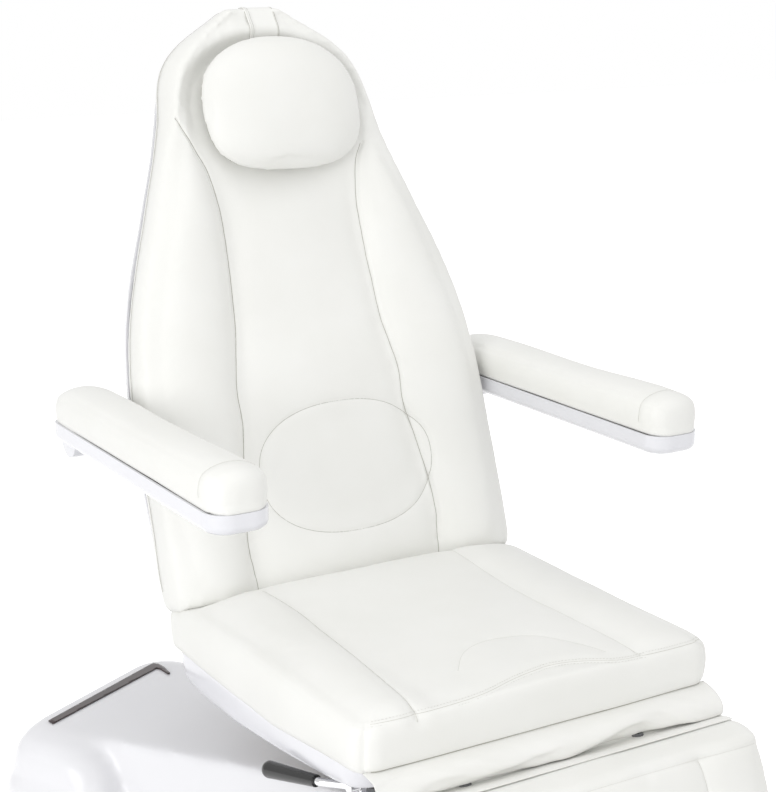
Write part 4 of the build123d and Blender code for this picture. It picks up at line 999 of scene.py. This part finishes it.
def build_strap(back):
    """The pillow's strap laid over the top of the back, with a raised welt down its edge and strips of painted
    shade along its edges.
    """
    trees = [tree_of(back), tree_of(nodes["back_shell"])]
    lines = [strap_line(trees, STRAP_MIDDLE + STRAP_HALF * place) for place in STRAP_COLUMNS]
    core = np.array(back_slab.world(STRAP_MIDDLE, *STRAP_CORE))
    rows, count = len(lines[0]), len(lines)
    verts, faces = [], []
    for heights in ([STRAP_UNDER] * count,
                    [STRAP_THICKNESS + STRAP_WELT * share for share in STRAP_WELT_SHARES]):
        for line, height in zip(lines, heights):
            for point in line:
                outward = point - core
                outward[0] = 0
                outward /= np.linalg.norm(outward)
                verts.append(tuple(point + outward * height))
    upper = rows * count
    for i in range(count - 1):
        for j in range(rows - 1):
            a = i * rows + j
            faces.append((a, a + 1, a + rows + 1, a + rows))
            faces.append((upper + a, upper + a + rows, upper + a + rows + 1, upper + a + 1))
    for j in range(rows - 1):
        faces.append((j + 1, j, upper + j, upper + j + 1))
        a = (count - 1) * rows + j
        faces.append((a, a + 1, upper + a + 1, upper + a))
    for i in range(count - 1):
        a, b = i * rows, (i + 1) * rows
        faces.append((a, b, upper + b, upper + a))
        faces.append((b + rows - 1, a + rows - 1, upper + a + rows - 1, upper + b + rows - 1))
    obj = piece_of("headrest_strap_cover", verts, faces, LEATHER)
    # Painted shade along the strap's edges, darker at the outer edges and where the welt rises.
    for name, column, finish in (("left_outer", 0, SEAM_SHADE), ("left_inner", 2, SOFT_SEAM_SHADE), ("left", 4, SEAM_SHADE),
                                 ("right", count - 2, SOFT_SEAM_SHADE), ("right_outer", count - 1, SEAM_SHADE)):
        edge = np.array(verts[upper + column * rows:upper + (column + 1) * rows])
        outward = edge - core
        outward[:, 0] = 0
        outward /= np.linalg.norm(outward, axis=1)[:, None]
        shade_strip("strap_edge_shade_" + name, edge, outward, "backrest", 0.45 * MM, finish)
    take_place(obj, "backrest", "headrest_strap")


# Moulded covers

# The skirt's plan, and its profile from the top edge inward: (inset, share of the way down)
PAN_HALF = 0.2990
PAN_FRONT = -0.287
PAN_REAR = 0.298
PAN_CORNER = 0.044
PAN_REAR_RETURN = 0.060
PAN_TUCK = 0.004
PAN_WALL = 0.003
PAN_PROFILE = ((0.0, 0.0), (0.0005, 0.2), (0.001, 0.4), (0.002, 0.6), (0.004, 0.78), (0.007, 0.90),
               (0.013, 0.97), (0.022, 1.0), (0.040, 1.0), (0.056, 1.0))


def build_pan():
    """The seat's skirt, with the swept lower edge and rounded corners of the moulding."""
    half, front, rear, corner = PAN_HALF, PAN_FRONT, PAN_REAR, PAN_CORNER
    plan = [(-half + PAN_REAR_RETURN, rear), (-half + corner, rear)]
    for turn in np.radians(np.linspace(90, 180, 9)):
        plan.append((-half + corner + corner * math.cos(turn), rear - corner + corner * math.sin(turn)))
    for y in np.linspace(rear - corner, front + corner, 60)[1:-1]:
        plan.append((-half, y))
    for turn in np.radians(np.linspace(180, 270, 9)):
        plan.append((-half + corner + corner * math.cos(turn), front + corner + corner * math.sin(turn)))
    left = np.array(plan)
    middle = np.stack([np.linspace(-half + corner, half - corner, 30)[1:-1], np.full(28, front)], axis=1)
    plan = np.vstack([left, middle, (left * (-1, 1))[::-1]])
    direction = np.gradient(plan, axis=0)
    direction /= np.linalg.norm(direction, axis=1)[:, None]
    inward = np.stack([-direction[:, 1], direction[:, 0]], axis=1)
    top = read_line(SEAT_SIDE_EDGE, plan[:, 1]) + PAN_TUCK
    low = read_line(PAN_LOW_EDGE, plan[:, 1])
    verts = []
    for place, turned, high, deep in zip(plan, inward, top, low):
        for inset, share in PAN_PROFILE:
            x, y = place + turned * inset
            verts.append((x, y, high + (deep - high) * share))
    obj = piece_of("seat_pan_skirt", verts, grid_faces(len(plan), len(PAN_PROFILE)), WHITE_PLASTIC)
    thicken(obj, PAN_WALL, 1.0)
    subdivide(obj, 1)
    take_place(obj, "seat", "seat_pan")


# A face is outside if it sees out level, along its normal or upward. These bound the three tries.
LEVEL_LEAST = 0.15
DOWNWARD_MOST = -0.2
UPWARD_PULL = Vector((0, 0, 1.2))
FACE_LIFT = 0.0005


def outside_only(obj):
    """Drop the hidden inner faces of a moulding and close what is left, so that it can be remeshed."""
    tree = tree_of(obj)
    bm = bmesh.new()
    bm.from_mesh(obj.data)
    bm.normal_update()
    hidden = []
    for face in bm.faces:
        normal = face.normal
        level = Vector((normal.x, normal.y, 0))
        ways = [level.normalized()] if level.length > LEVEL_LEAST else []
        if normal.z > DOWNWARD_MOST:
            ways += [normal, (normal + UPWARD_PULL).normalized()]
        start = face.calc_center_median() + normal * FACE_LIFT
        if not any(tree.ray_cast(start, way)[0] is None for way in ways):
            hidden.append(face)
    bmesh.ops.delete(bm, geom=hidden, context="FACES")
    bmesh.ops.holes_fill(bm, edges=[edge for edge in bm.edges if edge.is_boundary], sides=0)
    bmesh.ops.recalc_face_normals(bm, faces=bm.faces)
    bm.to_mesh(obj.data)
    bm.free()


COVER_VOXEL = 0.008
COVER_FOOT = 0.012
COVER_PULL_UP = (0.030, 0.075)
COVER_REACH = 0.030
COVER_LEVEL_LEAST = 0.5
COVER_RAY_UP = 0.002


def crisp_foot(points):
    """Bring the moulding's foot back to the solid's plan, and its lower edge back to one level."""
    solid = nodes["base_cover"]
    tree = tree_of(solid)
    floor = float(points_of(solid)[:, 2].min())
    middle = points[:, :2].mean(axis=0)
    high = points[:, 2] - floor
    pull = 1 - ramp(high, *COVER_PULL_UP)
    out = points.copy()
    for k in np.nonzero(pull > 0)[0]:
        x, y, z = points[k]
        _, normal, _, _ = tree.find_nearest(Vector((x, y, z)))
        level = Vector((normal.x, normal.y, 0))
        if level.length < COVER_LEVEL_LEAST:
            continue
        if level.x * (x - middle[0]) + level.y * (y - middle[1]) < 0:
            level = -level
        level.normalize()
        start = Vector((x, y, max(z, floor + COVER_RAY_UP))) + level * COVER_REACH
        hit, _, _, _ = tree.ray_cast(start, -level, 2 * COVER_REACH)
        if hit is not None:
            out[k, :2] += (np.array(hit)[:2] - out[k, :2]) * pull[k]
    out[high < COVER_FOOT, 2] = floor
    return out


def build_base_cover():
    """The base cover as one smooth moulding, without the hard steps of its solid."""
    obj = copy_of("base_cover", "base_cover_moulding", BASE_PLASTIC)
    outside_only(obj)
    remesh(obj, COVER_VOXEL)
    smooth(obj, 9)
    subdivide(obj, 1)
    set_points(obj, crisp_foot(points_of(obj)))
    take_place(obj, "base", "base_cover")
    return obj


STRIP_OUTLINE = ((-0.4390, 0.5120), (-0.1840, 0.6500), (-0.1790, 0.6400), (-0.1765, 0.6200), (-0.1785, 0.5900),
                 (-0.1835, 0.5880), (-0.1860, 0.6150), (-0.1900, 0.6240), (-0.4360, 0.4970))
STRIP_LONGEST_EDGE = 0.006
STRIP_HEIGHT = 0.323
STRIP_LIFT = 0.0008
STRIP_THICKNESS = 0.002


def build_strip(base):
    """The dark trim strip let into the base cover, with its turned-down tail."""
    bm = bmesh.new()
    face = bm.faces.new([bm.verts.new((x, y, 0.0)) for x, y in STRIP_OUTLINE])
    bmesh.ops.triangulate(bm, faces=[face])
    for _ in range(5):
        long_edges = [edge for edge in bm.edges if edge.calc_length() > STRIP_LONGEST_EDGE]
        bmesh.ops.subdivide_edges(bm, edges=long_edges, cuts=1)
        bmesh.ops.triangulate(bm, faces=bm.faces)
    tree = tree_of(base)
    for vert in bm.verts:
        hit, _, _, _ = tree.ray_cast(Vector((vert.co.x, vert.co.y, 2 * RAY_START)), Vector((0, 0, -1)))
        vert.co.z = (hit.z if hit is not None else STRIP_HEIGHT) + STRIP_LIFT
    bm.normal_update()
    mesh = bpy.data.meshes.new("rear_trim_inlay")
    bm.to_mesh(mesh)
    bm.free()
    obj = add_object("rear_trim_inlay", mesh, DARK_PLASTIC)
    thicken(obj, STRIP_THICKNESS, -1.0)
    take_place(obj, "base", "rear_trim_strip")


# Stage, light and camera

FLOOR_REACH = 14.0
FLOOR_GREY = (0.78, 0.78, 0.78, 1)
FLOOR_GLOW = 0.66
AMBIENT = 0.84


def white_to_camera(tree, surface, strength):
    """Add plain white light that only the camera, mirrors and glass see."""
    path = add_node(tree, "ShaderNodeLightPath")
    seen = add_node(tree, "ShaderNodeMath", operation="MAXIMUM")
    seen_more = add_node(tree, "ShaderNodeMath", operation="MAXIMUM")
    tree.links.new(path.outputs["Is Camera Ray"], seen.inputs[0])
    tree.links.new(path.outputs["Is Glossy Ray"], seen.inputs[1])
    tree.links.new(seen.outputs[0], seen_more.inputs[0])
    tree.links.new(path.outputs["Is Transmission Ray"], seen_more.inputs[1])
    level = add_node(tree, "ShaderNodeMath", operation="MULTIPLY")
    level.inputs[1].default_value = strength
    tree.links.new(seen_more.outputs[0], level.inputs[0])
    glow = add_node(tree, "ShaderNodeEmission")
    tree.links.new(level.outputs[0], glow.inputs["Strength"])
    both = add_node(tree, "ShaderNodeAddShader")
    tree.links.new(surface, both.inputs[0])
    tree.links.new(glow.outputs["Emission"], both.inputs[1])
    return both.outputs["Shader"]


def build_stage():
    """A plain pale floor that keeps the shadow, and a white world."""
    mesh = bpy.data.meshes.new("floor")
    reach = FLOOR_REACH
    mesh.from_pydata([(-reach, -reach, 0), (reach, -reach, 0), (reach, reach, 0), (-reach, reach, 0)],
                     [], [(0, 1, 2, 3)])
    material, tree, shader = node_material("floor")
    shader.inputs["Base Color"].default_value = FLOOR_GREY
    shader.inputs["Roughness"].default_value = 0.9
    shader.inputs["Specular IOR Level"].default_value = 0.1
    output = tree.nodes["Material Output"]
    tree.links.new(white_to_camera(tree, shader.outputs["BSDF"], FLOOR_GLOW), output.inputs["Surface"])
    floor = bpy.data.objects.new("floor", mesh)
    bpy.context.scene.collection.objects.link(floor)
    mesh.materials.append(material)
    world = bpy.context.scene.world or bpy.data.worlds.new("World")
    bpy.context.scene.world = world
    world.use_nodes = True
    tree = world.node_tree
    ambient = tree.nodes["Background"]
    ambient.inputs["Color"].default_value = (1, 1, 1, 1)
    path = add_node(tree, "ShaderNodeLightPath")
    level = add_node(tree, "ShaderNodeMapRange")
    level.inputs["To Min"].default_value = AMBIENT
    level.inputs["To Max"].default_value = 1.0
    seen = add_node(tree, "ShaderNodeMath", operation="MAXIMUM")
    tree.links.new(path.outputs["Is Camera Ray"], seen.inputs[0])
    tree.links.new(path.outputs["Is Transmission Ray"], seen.inputs[1])
    tree.links.new(seen.outputs[0], level.inputs["Value"])
    tree.links.new(level.outputs["Result"], ambient.inputs["Strength"])


def add_area(name, place, target, size, watts):
    """A soft box lamp aimed at a point."""
    data = bpy.data.lights.new(name, "AREA")
    data.shape = "RECTANGLE"
    data.size, data.size_y = size
    data.energy = watts
    lamp = bpy.data.objects.new(name, data)
    bpy.context.scene.collection.objects.link(lamp)
    lamp.location = place
    lamp.rotation_mode = "QUATERNION"
    lamp.rotation_quaternion = (Vector(target) - Vector(place)).to_track_quat("-Z", "Y")


def build_lights():
    """A large overhead soft box, a left key, a front light and a right fill."""
    centre = (0, 0.1, 0.75)
    add_area("overhead", (0.2, -0.2, 3.4), centre, (2.6, 2.6), 12)
    add_area("key_left", (-2.9, -1.2, 1.5), centre, (1.8, 1.8), 33)
    add_area("front", (-0.9, -3.4, 1.1), centre, (1.8, 1.4), 7)
    add_area("fill_right", (2.6, -2.0, 1.3), centre, (1.6, 1.6), 3)


def build_camera():
    """The photograph's camera."""
    data = bpy.data.cameras.new("camera")
    data.lens = CAMERA_LENS
    data.sensor_width = 36.0
    camera = bpy.data.objects.new("camera", data)
    bpy.context.scene.collection.objects.link(camera)
    camera.location = CAMERA_PLACE
    camera.rotation_mode = "QUATERNION"
    camera.rotation_quaternion = Vector(SIGHT).to_track_quat("-Z", "Y")
    bpy.context.scene.camera = camera


bpy.context.scene.view_settings.view_transform = "Standard"
dress_nodes()
build_camera()
build_stage()
build_lights()
build_seat()
back = build_back()
build_leg()
build_pillow()
build_strap(back)
build_arm_pads()
build_flap()
build_pan()
build_strip(build_base_cover())
